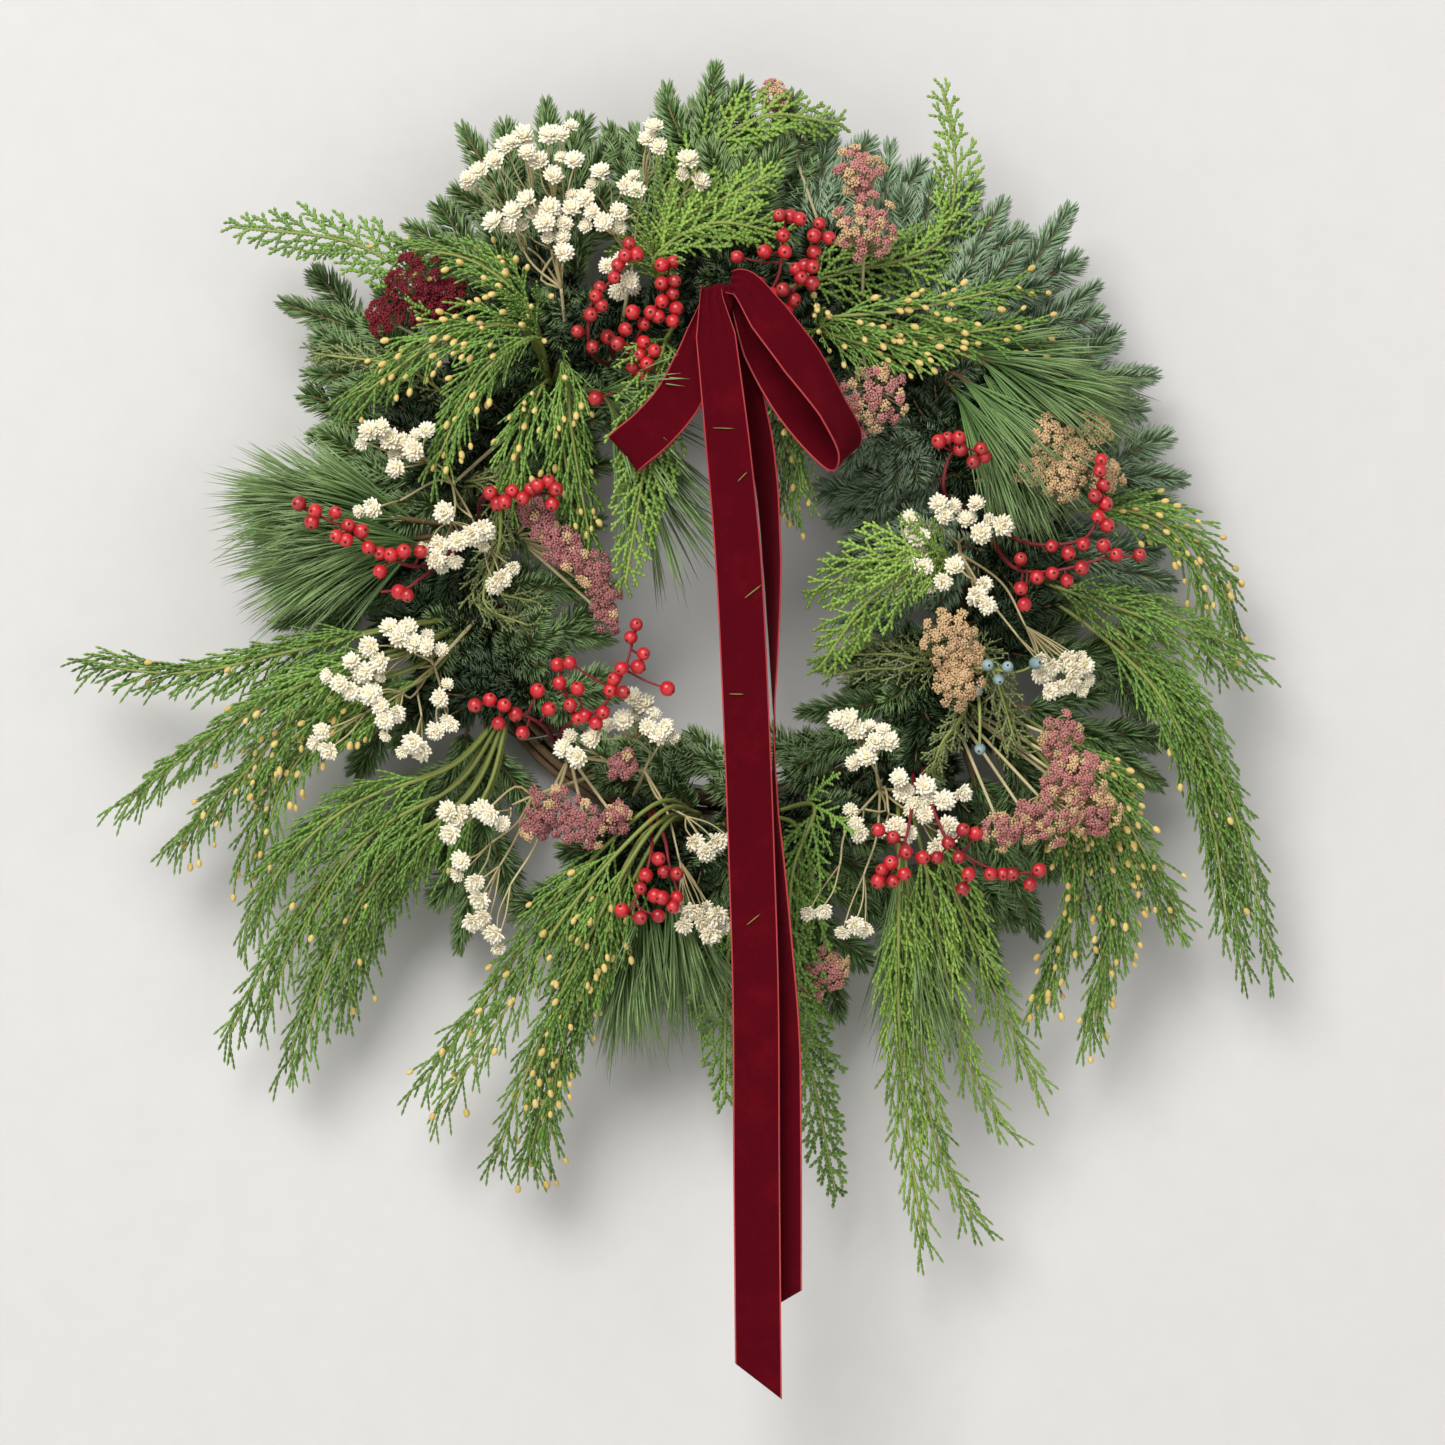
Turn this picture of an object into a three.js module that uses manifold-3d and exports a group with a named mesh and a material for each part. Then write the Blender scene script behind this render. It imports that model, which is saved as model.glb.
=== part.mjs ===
// A fresh evergreen wreath with a velvet bow, hanging by the wire loop of its ring frame.
//
// Millimetres, +Z up. The origin is where the loop bears on its nail, and the wreath faces -Y.
// Layout places are [x, z, depth] from the ring's centre: x to the right, z up, and depth
// towards the viewer from the plane of the wire frame.

import * as THREE from 'three';
import Module from 'manifold-3d';
import { mergeVertices } from 'three/addons/utils/BufferGeometryUtils.js';

const wasm = await Module();
wasm.setup();

// ---- driving dimensions -------------------------------------------------------------------

const RING_RADIUS = 140;          // mean radius of a 12 in wire ring frame, 305 mm over its rails
const RAIL_OFFSET = 12.5;         // each of the two rails lies this far from the mean radius
const RAIL_WIRE = 2;              // radius of the frame's wire
const BAR_COUNT = 5;              // cross bars between the rails
const LOOP_RADIUS = 13;           // hanging loop, to the middle of its wire
const LOOP_WIRE = 1.3;
const COLLAR_RADIUS = 4.3;        // the loop's wire, wound once round the outer rail
const STEMS_BACK = 2.6;           // depth range of the bound stems
const STEMS_FRONT = 26;
const STEMS_WIDTH = 34;
const STEM_GROOVE = 1.2;          // grooves between the bound stems
const BINDING_WIRE = 0.7;
const BINDING_TURNS = 8;
const GAP = 0.5;                  // left between pieces that touch
const HUB_RADIUS = 4.4;           // where the stems of one bunch are gathered
const HUB_LENGTH = 10;
const ROOT_RADIUS = 2.7;          // five roots round a hub's middle and one in it
const HUB_ROW = 8.9;              // hubs sit in three rows across the bound stems
const HUB_TURN = 0.03;            // step of angle in which a hub looks for its place

const RIBBON_WIDTH = 25.4;        // 1 in velvet ribbon
const RIBBON_THICK = 0.9;
const BOW_WIRE = 1.1;
const BERRY_RADIUS = 3.8;
const BERRY_STEM = 1.5;
const BLUE_BERRY_RADIUS = 3.4;
const FLOWER_RADIUS = 8;
const FLOWER_STEM = 0.6;

const LOOP_HEIGHT = RING_RADIUS + RAIL_OFFSET + RAIL_WIRE + GAP + LOOP_WIRE + LOOP_RADIUS;
const HOOK_HEIGHT = LOOP_HEIGHT + LOOP_RADIUS - LOOP_WIRE;
const FRONT = new THREE.Vector3(0, -1, 0);
const DOWN = new THREE.Vector3(0, 0, -1);

const COLOURS = {
  wire: ['#6f6f68', 0.5, 0.8],
  stem: ['#6b5236', 0.85, 0],
  velvet: ['#6a0a18', 0.9, 0],
  berry: ['#c01f2c', 0.45, 0],
  blueberry: ['#39486b', 0.6, 0],
  flower: ['#efe6cf', 0.85, 0],
  pink: ['#b5706a', 0.9, 0],
  mauve: ['#94525a', 0.9, 0],
  burgundy: ['#5a1722', 0.9, 0],
  beige: ['#c8a27e', 0.9, 0],
  pine: ['#3b6a3a', 0.6, 0],
  cedar: ['#5d8736', 0.65, 0],
  lime: ['#86b440', 0.65, 0],
  juniper: ['#66794a', 0.7, 0],
  fir: ['#46685a', 0.6, 0],
};

// ---- small helpers ------------------------------------------------------------------------

function place([x, z, depth]) {
  return new THREE.Vector3(x, -depth, z);
}

function seededRandom(seed) {
  let state = seed >>> 0;
  return () => {
    state = (state + 0x6d2b79f5) >>> 0;
    let mixed = Math.imul(state ^ (state >>> 15), 1 | state);
    mixed = (mixed + Math.imul(mixed ^ (mixed >>> 7), 61 | mixed)) ^ mixed;
    return ((mixed ^ (mixed >>> 14)) >>> 0) / 4294967296;
  };
}

function solidOf(geometry) {
  geometry.deleteAttribute('normal');
  geometry.deleteAttribute('uv');
  const merged = mergeVertices(geometry, 1e-4);
  return new wasm.Manifold(new wasm.Mesh({
    numProp: 3,
    vertProperties: new Float32Array(merged.attributes.position.array),
    triVerts: new Uint32Array(merged.index.array),
  }));
}

function fuse(solids) {
  return solids.reduce((whole, next) => whole.add(next));
}

// One body: scraps that lie loose and hollows that fusing sealed are left out.
function largestBody(solid) {
  return solid.decompose().reduce((best, body) => (body.volume() > best.volume() ? body : best));
}

function geometryOf(solid) {
  const mesh = solid.getMesh();
  const geometry = new THREE.BufferGeometry();
  const position = new THREE.BufferAttribute(new Float32Array(mesh.vertProperties), 3);
  geometry.setAttribute('position', position);
  geometry.setIndex(Array.from(mesh.triVerts));
  geometry.computeVertexNormals();
  return geometry;
}

// Faces between two closed loops of corners, which may differ in count. The upper loop is taken
// from the corner that leaves the shortest edges.
function bridge(points, lower, upperLoop) {
  const count = upperLoop.length;
  const turned = (offset) => upperLoop.map((_, i) => upperLoop[(i + offset) % count]);
  const below = (i) => lower[(1 + Math.floor((i * lower.length) / count)) % lower.length];
  const edges = (upper) => upper.reduce((sum, corner, i) => (
    sum + points[corner].distanceTo(points[below(i)])), 0);
  const upper = upperLoop.map((_, offset) => turned(offset)).sort((a, b) => edges(a) - edges(b))[0];
  const faces = [];
  let [i, j] = [0, 0];
  while (i < lower.length || j < count) {
    const [a, b] = [lower[i % lower.length], upper[j % count]];
    if (j >= count || (i < lower.length && i * count <= j * lower.length)) {
      i += 1;
      faces.push(a, lower[i % lower.length], b);
    } else {
      j += 1;
      faces.push(a, upper[j % count], b);
    }
  }
  return faces;
}

// Rings of equal count joined into one closed body. isTurned says which quads are split along
// their other diagonal. A bud grows from the quad whose number it has, ring by ring to its end.
function loft(rings, { isTurned = () => false, startPoint, endPoint, buds = new Map() } = {}) {
  const sides = rings[0].length;
  const last = (rings.length - 1) * sides;
  const points = rings.flat();
  const faces = [];
  for (let k = 0; k + 1 < rings.length; k += 1) {
    for (let j = 0; j < sides; j += 1) {
      const next = (j + 1) % sides;
      const [a, b] = [k * sides + j, k * sides + next];
      const [c, d] = [a + sides, b + sides];
      const bud = buds.get(a);
      if (bud) faces.push(...budFaces([a, b, d, c], bud, points));
      else if (isTurned(k, j)) faces.push(a, b, c, b, d, c);
      else faces.push(a, b, d, a, d, c);
    }
  }
  const from = startPoint ? points.push(startPoint) - 1 : 0;
  const to = endPoint ? points.push(endPoint) - 1 : last;
  for (let j = 0; j < sides; j += 1) {
    const next = (j + 1) % sides;
    if (startPoint || (j > 0 && next > 0)) faces.push(from, next, j);
    if (endPoint || (j > 0 && next > 0)) faces.push(to, last + j, last + next);
  }
  const geometry = new THREE.BufferGeometry().setFromPoints(points);
  geometry.setIndex(faces);
  return geometry;
}

// Rings whose counts may differ joined into one closed body that ends in a point.
function skin(rings, end) {
  const points = [...rings.flat(), end];
  let next = 0;
  const loops = rings.map((ring) => ring.map(() => (next += 1) - 1));
  const faces = loops.slice(1).flatMap((loop, k) => bridge(points, loops[k], loop));
  for (let j = 1; j + 1 < loops[0].length; j += 1) faces.push(0, j + 1, j);
  const last = loops.at(-1);
  last.forEach((corner, j) => faces.push(corner, last[(j + 1) % last.length], next));
  const geometry = new THREE.BufferGeometry().setFromPoints(points);
  geometry.setIndex(faces);
  return solidOf(geometry);
}

function budFaces(corners, { rings, end }, points) {
  const faces = [];
  let lower = corners;
  for (const ring of rings) {
    const upper = ring.map((point) => points.push(point) - 1);
    faces.push(...bridge(points, lower, upper));
    lower = upper;
  }
  const tip = points.push(end) - 1;
  lower.forEach((corner, i) => faces.push(corner, lower[(i + 1) % lower.length], tip));
  return faces;
}

// ---- room: no piece reaches into one that is already there ----------------------------------

const CELL = 16;
const room = new Map();

function eachCell(line, reach, visit) {
  const box = new THREE.Box3().setFromPoints([line.start, line.end]).expandByScalar(reach);
  const low = box.min.divideScalar(CELL).floor();
  const high = box.max.divideScalar(CELL).floor();
  for (let x = low.x; x <= high.x; x += 1) {
    for (let y = low.y; y <= high.y; y += 1) {
      for (let z = low.z; z <= high.z; z += 1) visit(`${x},${y},${z}`);
    }
  }
}

function occupy(owner, start, end, radius, part = null) {
  const line = new THREE.Line3(start.clone(), end.clone());
  eachCell(line, radius + GAP, (key) => {
    if (!room.has(key)) room.set(key, []);
    room.get(key).push({ owner, part, line, radius });
  });
}

const nearA = new THREE.Vector3();
const nearB = new THREE.Vector3();

// mayTouch says which of the pieces already there a new one may run into, since it is fused to
// them: a stem its own bunch, a side twig its parent, and a spike the stem that it grows on.
function isFree(start, end, radius, mayTouch) {
  const line = new THREE.Line3(start, end);
  let free = true;
  eachCell(line, radius, (key) => {
    for (const other of free ? room.get(key) ?? [] : []) {
      if (mayTouch(other)) continue;
      const least = radius + other.radius + GAP;
      if (line.distanceSqToLine3(other.line, nearA, nearB) < least ** 2) free = false;
    }
  });
  return free;
}

const ofOwner = (owner) => (other) => other.owner === owner;
const ofPart = (part) => (other) => other.part === part;

function pathIsFree(points, radius, mayTouch) {
  return points.slice(1).every((point, i) => isFree(points[i], point, radius, mayTouch));
}

// ---- stems, twigs and fronds: one tapered body whose side points are drawn out --------------

// look: sides, pitch, radius [root, tip], spike (length), outline (its share along the stem),
// lean from the stem and jitter in degrees, thick (a spike's half thickness), bare (the share
// of the stem without spikes) and droop (how far a spike hangs).
const BARE = { spike: 0, lean: 0, jitter: 0, thick: 0, bare: 1, droop: 0, outline: () => 0 };
const LOOKS = {
  stalk: { ...BARE, sides: 3, steps: 2, radius: [1.1, 0.8] },
  fir: {
    sides: 4, pitch: 13, radius: [1.6, 1.1], spike: 20, lean: 50, jitter: 12, thick: 0.7,
    bare: 0.3, droop: -0.12, outline: (t) => Math.min(1, 0.75 + t, 3.2 * (1.08 - t)),
  },
  pine: {
    rises: true, sides: 6, pitch: 12, radius: [1.9, 1.2], spike: 84, lean: 27, jitter: 6, thick: 0.9,
    bare: 0.4, droop: 0.04, outline: (t) => 1 - 0.2 * t,
  },
  cedar: {
    rises: true, sides: 3, pitch: 11.5, radius: [1.4, 0.9], spike: 31, lean: 34, jitter: 5, thick: 0.8,
    bare: 0.36, droop: 0.12, outline: (t) => Math.sin(Math.PI * Math.min(1, 0.22 + t * 0.75)),
  },
  strand: {
    rises: true, sides: 3, pitch: 16, radius: [1.4, 0.8], spike: 44, lean: 22, jitter: 5, thick: 0.9,
    bare: 0.44, droop: 0.25, outline: (t) => 1 - 0.5 * t,
  },
  juniper: {
    sides: 4, pitch: 10, radius: [1.3, 0.9], spike: 13, lean: 45, jitter: 20, thick: 0.7,
    bare: 0.2, droop: 0, outline: (t) => 1 - 0.4 * t,
  },
};
const BARE_PITCH = 45;            // a step of the path where no spikes grow
const TURNS = {                   // where a section's points stand, from its left side round
  3: [0, Math.PI, 1.5 * Math.PI],
  4: [0.25, 0.75, 1.25, 1.75].map((part) => part * Math.PI),
  6: [0, 1, 2, 3, 4, 5].map((sixth) => (sixth * Math.PI) / 3),
};

function tipRule(sides) {
  if (sides === 3) return (k, j) => j < 2 && k % 2 === j;
  return (k, j) => (k + j) % 2 === 0;
}

// Each quad is split between its two corners that are not drawn out.
function besideTips(sides) {
  const isTip = tipRule(sides);
  return (k, j) => isTip(k, j) || isTip(k + 1, (j + 1) % sides);
}

// Directions at each step of a path, carried back from its end so that a flat spray faces front.
function pathFrames(points) {
  const count = points.length - 1;
  const frames = [];
  let side = null;
  for (let k = count; k >= 0; k -= 1) {
    const tangent = points[Math.min(k + 1, count)].clone().sub(points[Math.max(k - 1, 0)]).normalize();
    side ??= FRONT.clone().cross(tangent);
    side = side.clone().addScaledVector(tangent, -side.dot(tangent)).normalize();
    frames[k] = { point: points[k], tangent, side, normal: tangent.clone().cross(side) };
  }
  return frames;
}

// The end of one needle or leaflet: as long as its look says, and shorter where it would touch.
function spikeEnd(owner, part, foot, out, frame, share, look, random) {
  const full = look.spike * look.outline(share) * (0.85 + 0.3 * random());
  const lean = THREE.MathUtils.degToRad(look.lean + look.jitter * (random() - 0.5));
  const way = out.clone().multiplyScalar(Math.sin(lean)).addScaledVector(frame.tangent, Math.cos(lean));
  way.addScaledVector(DOWN, look.droop).normalize();
  for (const cut of [1, 0.75, 0.5, 0.3]) {
    const end = foot.clone().addScaledVector(way, full * cut);
    const neck = foot.clone().lerp(end, 0.3);
    const free = full * cut > 1.5 && isFree(foot, neck, 2 * look.thick, ofPart(part))
      && isFree(neck, end, look.thick, () => false)
      && isFree(foot.clone().lerp(end, 0.15), end, look.thick / 2, () => false);
    if (!free) continue;
    occupy(owner, foot, neck, 2 * look.thick, part);
    occupy(owner, neck, end, look.thick, part);
    return end;
  }
  return foot;
}

// Steps along a path: few where the stem is bare, and one for each ring of spikes beyond.
function pathSteps(curve, look) {
  const length = curve.getLength();
  const bareCount = look.steps ?? Math.max(1, Math.round((length * look.bare) / BARE_PITCH));
  const leafyCount = look.bare < 1 ? Math.max(2, Math.round((length * (1 - look.bare)) / look.pitch)) : 0;
  const steps = Array.from({ length: bareCount }, (_, i) => (look.bare * i) / bareCount);
  for (let i = 0; i <= leafyCount; i += 1) {
    steps.push(Math.min(1, look.bare + ((1 - look.bare) * i) / Math.max(leafyCount, 1)));
  }
  return steps;
}

let partCount = 0;

function twig(owner, points, look, random) {
  const curve = new THREE.CatmullRomCurve3(points, false, 'centripetal');
  const steps = pathSteps(curve, look);
  const frames = pathFrames(steps.map((t) => curve.getPointAt(t)));
  const isTip = tipRule(look.sides);
  const part = `${owner}-${partCount += 1}`;
  frames.slice(1).forEach((frame, k) => occupy(owner, frames[k].point, frame.point, look.radius[0], part));
  const rings = frames.slice(0, -1).map((frame, k) => {
    const radius = THREE.MathUtils.lerp(look.radius[0], look.radius[1], steps[k]);
    return TURNS[look.sides].map((angle, j) => {
      const out = frame.side.clone().multiplyScalar(Math.cos(angle));
      out.addScaledVector(frame.normal, Math.sin(angle));
      const foot = frame.point.clone().addScaledVector(out, radius);
      if (k === 0 || steps[k] < look.bare + 0.01 || !isTip(k, j)) return foot;
      const share = (steps[k] - look.bare) / (1 - look.bare);
      return spikeEnd(owner, part, foot, out, frame, share, look, random);
    });
  });
  const isTurned = besideTips(look.sides);
  return { part, solid: solidOf(loft(rings, { isTurned, endPoint: frames.at(-1).point })) };
}

const FORWARD_SHIFTS = [0, 3, -3, 6, -6, 10, -10, 15, -15, 20];
const SIDE_SHIFTS = [0, 4, -4, 8, -8, 13, -13];
const KEPT_SHARES = [1, 0.85, 0.7, 0.5];

function shiftedPath(points, forward, aside, kept) {
  const across = FRONT.clone().cross(points.at(-1).clone().sub(points[0])).normalize();
  const moved = points.map((point, i) => {
    if (i === 0) return point.clone();
    const asideShare = i === points.length - 1 ? 0.4 : 1;
    return point.clone().addScaledVector(FRONT, forward).addScaledVector(across, aside * asideShare);
  });
  if (kept === 1) return moved;
  const curve = new THREE.CatmullRomCurve3(moved, false, 'centripetal');
  return [0, 0.25, 0.5, 0.75, 1].map((share) => curve.getPointAt(share * kept));
}

// Bends a stem clear of what is there already, or shortens it: its root stays where it is, and
// it may run into its own hub, or else into the other stems of its bunch.
function clearPath(owner, points, look) {
  for (const mayTouch of [ofPart(`${owner} hub`), ofOwner(owner)]) {
    for (const kept of KEPT_SHARES) {
      for (const aside of SIDE_SHIFTS) {
        for (const forward of FORWARD_SHIFTS) {
          const path = shiftedPath(points, forward, aside, kept);
          const curve = new THREE.CatmullRomCurve3(path, false, 'centripetal');
          const steps = pathSteps(curve, look).map((t) => curve.getPointAt(t));
          if (pathIsFree(steps, look.radius[0], mayTouch)) return path;
        }
      }
    }
  }
  throw new Error(`no room for a stem of ${owner}`);
}

// ---- bunches: what grows from one gathering of stems on the ring ----------------------------

const pieces = [];

function addPiece(name, colour, solid) {
  const [color, roughness, metalness] = COLOURS[colour];
  const material = new THREE.MeshStandardMaterial({ color, roughness, metalness });
  const mesh = new THREE.Mesh(geometryOf(largestBody(solid)), material);
  mesh.name = name;
  pieces.push(mesh);
}

// The gathered stem ends, seated on the front of the bound stems at the nearest free place. Each
// stem has the root that lies nearest to the way it goes.
function hub(owner, [x, z], row, stems) {
  const reach = RING_RADIUS + row * HUB_ROW;
  for (let step = 0; step < 80; step += 1) {
    const angle = Math.atan2(z, x) + (step % 2 ? 1 : -1) * Math.ceil(step / 2) * HUB_TURN;
    const spot = [reach * Math.cos(angle), reach * Math.sin(angle)];
    const back = place([...spot, STEMS_FRONT + GAP]);
    const front = place([...spot, STEMS_FRONT + GAP + HUB_LENGTH]);
    if (isFree(back, front, HUB_RADIUS, ofOwner(owner))) {
      occupy(owner, back, front, HUB_RADIUS, `${owner} hub`);
      const body = new THREE.CylinderGeometry(HUB_RADIUS, HUB_RADIUS, HUB_LENGTH, 6);
      body.translate(back.x, (back.y + front.y) / 2, back.z);
      return { roots: rootsOf(back.lerp(front, 0.6), stems), solid: solidOf(body) };
    }
  }
  throw new Error(`no room on the ring for ${owner}`);
}

function rootsOf(middle, stems) {
  const spots = evenAngles(5).map((turn) => {
    const out = new THREE.Vector3(Math.cos(turn), 0, Math.sin(turn));
    return middle.clone().addScaledVector(out, ROOT_RADIUS);
  });
  if (stems.length > spots.length || stems.length === 1) spots.unshift(middle);
  return stems.map(([first]) => {
    const target = place(first);
    spots.sort((a, b) => a.distanceTo(target) - b.distanceTo(target));
    return spots.shift();
  });
}

// A stem's path: out of the hub towards the viewer, then over to its own points.
function stemPath(root, points) {
  const first = place(points[0]);
  const rise = root.clone().lerp(first, 0.3);
  rise.y = THREE.MathUtils.lerp(root.y, first.y, 0.55);
  return [root, rise, ...points.map(place)];
}

// A stem that rises to its first point before it spreads is bare as far as there.
function bareAsFarAs(first, path, look) {
  const lengths = path.slice(1).map((point, i) => point.distanceTo(path[i]));
  const share = (upTo) => lengths.slice(0, upTo).reduce((sum, length) => sum + length, 0);
  return look.bare < 1 ? Math.max(look.bare, (0.9 * share(first)) / share(lengths.length)) : 1;
}

function growStem(owner, root, points, look, random) {
  const rising = stemPath(root, points);
  const grown = look.rises ? { ...look, bare: bareAsFarAs(2, rising, look) } : look;
  const path = clearPath(owner, rising, grown);
  return { path, ...twig(owner, path, grown, random) };
}

function greens({ name, at, row = 0, look, colour, seed, stems }) {
  const random = seededRandom(seed);
  const { roots, solid } = hub(name, at, row, stems);
  const twigs = stems.map((points, i) => growStem(name, roots[i], points, LOOKS[look], random).solid);
  addPiece(name, colour, fuse([solid, ...twigs]));
}

// Berries stand close round the outer part of their stem, each grown from one flat of it.
const BERRY_STEM_LOOK = { ...BARE, sides: 3, steps: 2, bare: 0.46, radius: [BERRY_STEM, BERRY_STEM] };
const BERRY_RINGS = [[-0.4, 0.9, 0], [0.45, 0.88, 0.5]];   // height, reach and turn in quarters
const BERRY_TURN = 0.35;           // how far each flat of the stem is turned from the one before

function berryBud(quad, radius) {
  const foot = quad.reduce((sum, corner) => sum.add(corner), new THREE.Vector3()).multiplyScalar(1 / 4);
  const across = quad[1].clone().sub(quad[0]).add(quad[2]).sub(quad[3]).normalize();
  const along = quad[3].clone().sub(quad[0]).add(quad[2]).sub(quad[1]);
  const out = across.clone().cross(along).normalize();
  along.copy(out).cross(across);
  const centre = foot.clone().addScaledVector(out, radius * 0.96);
  const rings = BERRY_RINGS.map(([height, reach, turn]) => [0, 1, 2, 3].map((i) => {
    const angle = (Math.PI / 2) * (i + turn - 1.5);
    return centre.clone().addScaledVector(out, height * radius)
      .addScaledVector(across, reach * radius * Math.cos(angle))
      .addScaledVector(along, reach * radius * Math.sin(angle));
  }));
  return { centre, bud: { rings, end: centre.clone().addScaledVector(out, radius) } };
}

function berryBranch(owner, path, count, radius, centres, random) {
  const curve = new THREE.CatmullRomCurve3(path, false, 'centripetal');
  const look = { ...BERRY_STEM_LOOK, pitch: 2.15 * radius };
  const frames = pathFrames(pathSteps(curve, look).map((t) => curve.getPointAt(t)));
  const rings = frames.map(({ point, side, normal }, k) => TURNS[3].map((angle) => (
    point.clone().addScaledVector(side, BERRY_STEM * Math.cos(angle + k * BERRY_TURN))
      .addScaledVector(normal, BERRY_STEM * Math.sin(angle + k * BERRY_TURN)))));
  const part = `${owner}-${partCount += 1}`;
  frames.slice(1).forEach((frame, k) => occupy(owner, frames[k].point, frame.point, BERRY_STEM, part));
  const buds = new Map();
  const flats = rings.slice(look.steps, -1).flatMap((_, i) => [0, 1, 2].map((j) => [i + look.steps, j]));
  for (const [k, j] of flats.reverse()) {
    const next = (j + 1) % 3;
    const quad = [rings[k][j], rings[k][next], rings[k + 1][next], rings[k + 1][j]];
    const size = radius * (0.92 + 0.16 * random());
    const { centre, bud } = berryBud(quad, size);
    const apart = centres.every((other) => other.distanceTo(centre) > 2 * radius + 0.2);
    if (buds.size >= count || !apart || !isFree(centre, centre, size, ofPart(part))) continue;
    centres.push(centre);
    buds.set(k * 3 + j, bud);
    occupy(owner, centre, centre, size, part);
  }
  const end = frames.at(-1).point.clone().addScaledVector(frames.at(-1).tangent, BERRY_STEM);
  return solidOf(loft(rings, { buds, endPoint: end }));
}

function berries({ name, at, row = 0, seed, strands, colour = 'berry', radius = BERRY_RADIUS }) {
  const random = seededRandom(seed);
  const { roots, solid } = hub(name, at, row, strands.map(({ points }) => points));
  const look = { ...BERRY_STEM_LOOK, pitch: 2.15 * radius };
  const centres = [];
  const branches = strands.map(({ count, points }, i) => {
    const path = clearPath(name, stemPath(roots[i], points), look);
    return berryBranch(name, path, count, radius, centres, random);
  });
  addPiece(name, colour, fuse([solid, ...branches]));
}

// Corners round a middle, in the plane across an axis, at angles from the way given.
function ringAcross(middle, axis, way, angles, reachOf, riseOf = () => 0) {
  const side = way.clone().addScaledVector(axis, -way.dot(axis)).normalize();
  const normal = axis.clone().cross(side);
  return angles.map((angle, j) => middle.clone().addScaledVector(axis, riseOf(j))
    .addScaledVector(side, reachOf(j) * Math.cos(angle))
    .addScaledVector(normal, reachOf(j) * Math.sin(angle)));
}

function evenAngles(count, start = 0) {
  return Array.from({ length: count }, (_, i) => start + (2 * Math.PI * i) / count);
}

// A papery flower at the end of a thin stalk: pointed petals round a raised heart. It faces
// between the viewer and the way its stalk goes.
const PETALS = 5;

function leaning(way, share, random) {
  const axis = FRONT.clone().addScaledVector(way, share);
  return axis.add(new THREE.Vector3(0.3 * (random() - 0.5), 0, 0.3 * (random() - 0.5))).normalize();
}

// The way a neck points: near the flower's axis, so that its stalk stays clear of the petals.
function axisBetween(way, axis) {
  return axis.clone().addScaledVector(way, 0.3).normalize();
}

function flowerBud(quad, centre, axis, radius, spin) {
  const neck = centre.clone().addScaledVector(axis, -0.5 * radius);
  const way = neck.clone().sub(quad[0]).normalize();
  const along = quad[1].clone().sub(quad[0]);
  const reachOf = (j) => (j % 2 ? 0.62 : 1) * radius;
  const riseOf = (j) => (j % 2 ? -0.12 : 0.22) * radius;
  return {
    rings: [
      ringAcross(neck, axisBetween(way, axis), along, TURNS[4], () => FLOWER_STEM),
      ringAcross(centre, axis, along, evenAngles(2 * PETALS, spin), reachOf, riseOf),
    ],
    end: centre.clone().addScaledVector(axis, 0.4 * radius),
  };
}

// A spray of flowers: their stalks leave one fork, which has a flat for each of them.
const FLOWER_SHIFTS = [0, 4, 8, -4, 12, 16, 20, 24, 28].flatMap((forward) => (
  [0, 3, -3].map((aside) => ({ forward, aside }))));
const FORK_RADIUS = 5;
const FORK_DEPTH = 3;
const FORK_SPACING = 0.3;         // least angle between neighbouring stalks at the fork
const BARE_TURN = 1.2;            // angle between the fork's corners where no stalk leaves it

function spacedAngles(angles) {
  const spaced = [...angles];
  for (let pass = 0; pass < 60; pass += 1) {
    for (let i = 1; i < spaced.length; i += 1) {
      const lack = FORK_SPACING - (spaced[i] - spaced[i - 1]);
      if (lack > 0) [spaced[i - 1], spaced[i]] = [spaced[i - 1] - lack / 2, spaced[i] + lack / 2];
    }
  }
  return spaced;
}

function flowerFits(owner, start, centre, radius) {
  const mayTouch = (other) => other.owner === owner && other.part !== 'flower' && other.part !== 'stalk';
  const away = start.clone().lerp(centre, 0.2);
  const inFront = start.y - centre.y > FORK_DEPTH;
  return inFront && isFree(centre, centre, radius, mayTouch) && isFree(away, centre, FLOWER_STEM, mayTouch)
    && isFree(start, away, 2 * FLOWER_STEM, ofOwner(owner))
    && isFree(start, centre, FLOWER_STEM / 2, mayTouch);
}

// The heads in their order round the fork, with the angle at which each stalk leaves it.
function roundTheFork(middle, heads) {
  const ways = heads.map((head) => place(head).sub(middle).setY(0).normalize());
  const mean = ways.reduce((sum, way) => sum.add(way), new THREE.Vector3());
  const turned = Math.atan2(mean.z, mean.x);
  const angleOf = ([x, z]) => {
    const way = new THREE.Vector3(x - middle.x, 0, z - middle.z).applyAxisAngle(FRONT, -turned);
    return turned + Math.atan2(way.z, way.x);
  };
  const sorted = [...heads].sort((a, b) => angleOf(a) - angleOf(b));
  return { sorted, angles: spacedAngles(sorted.map(angleOf)) };
}

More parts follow.
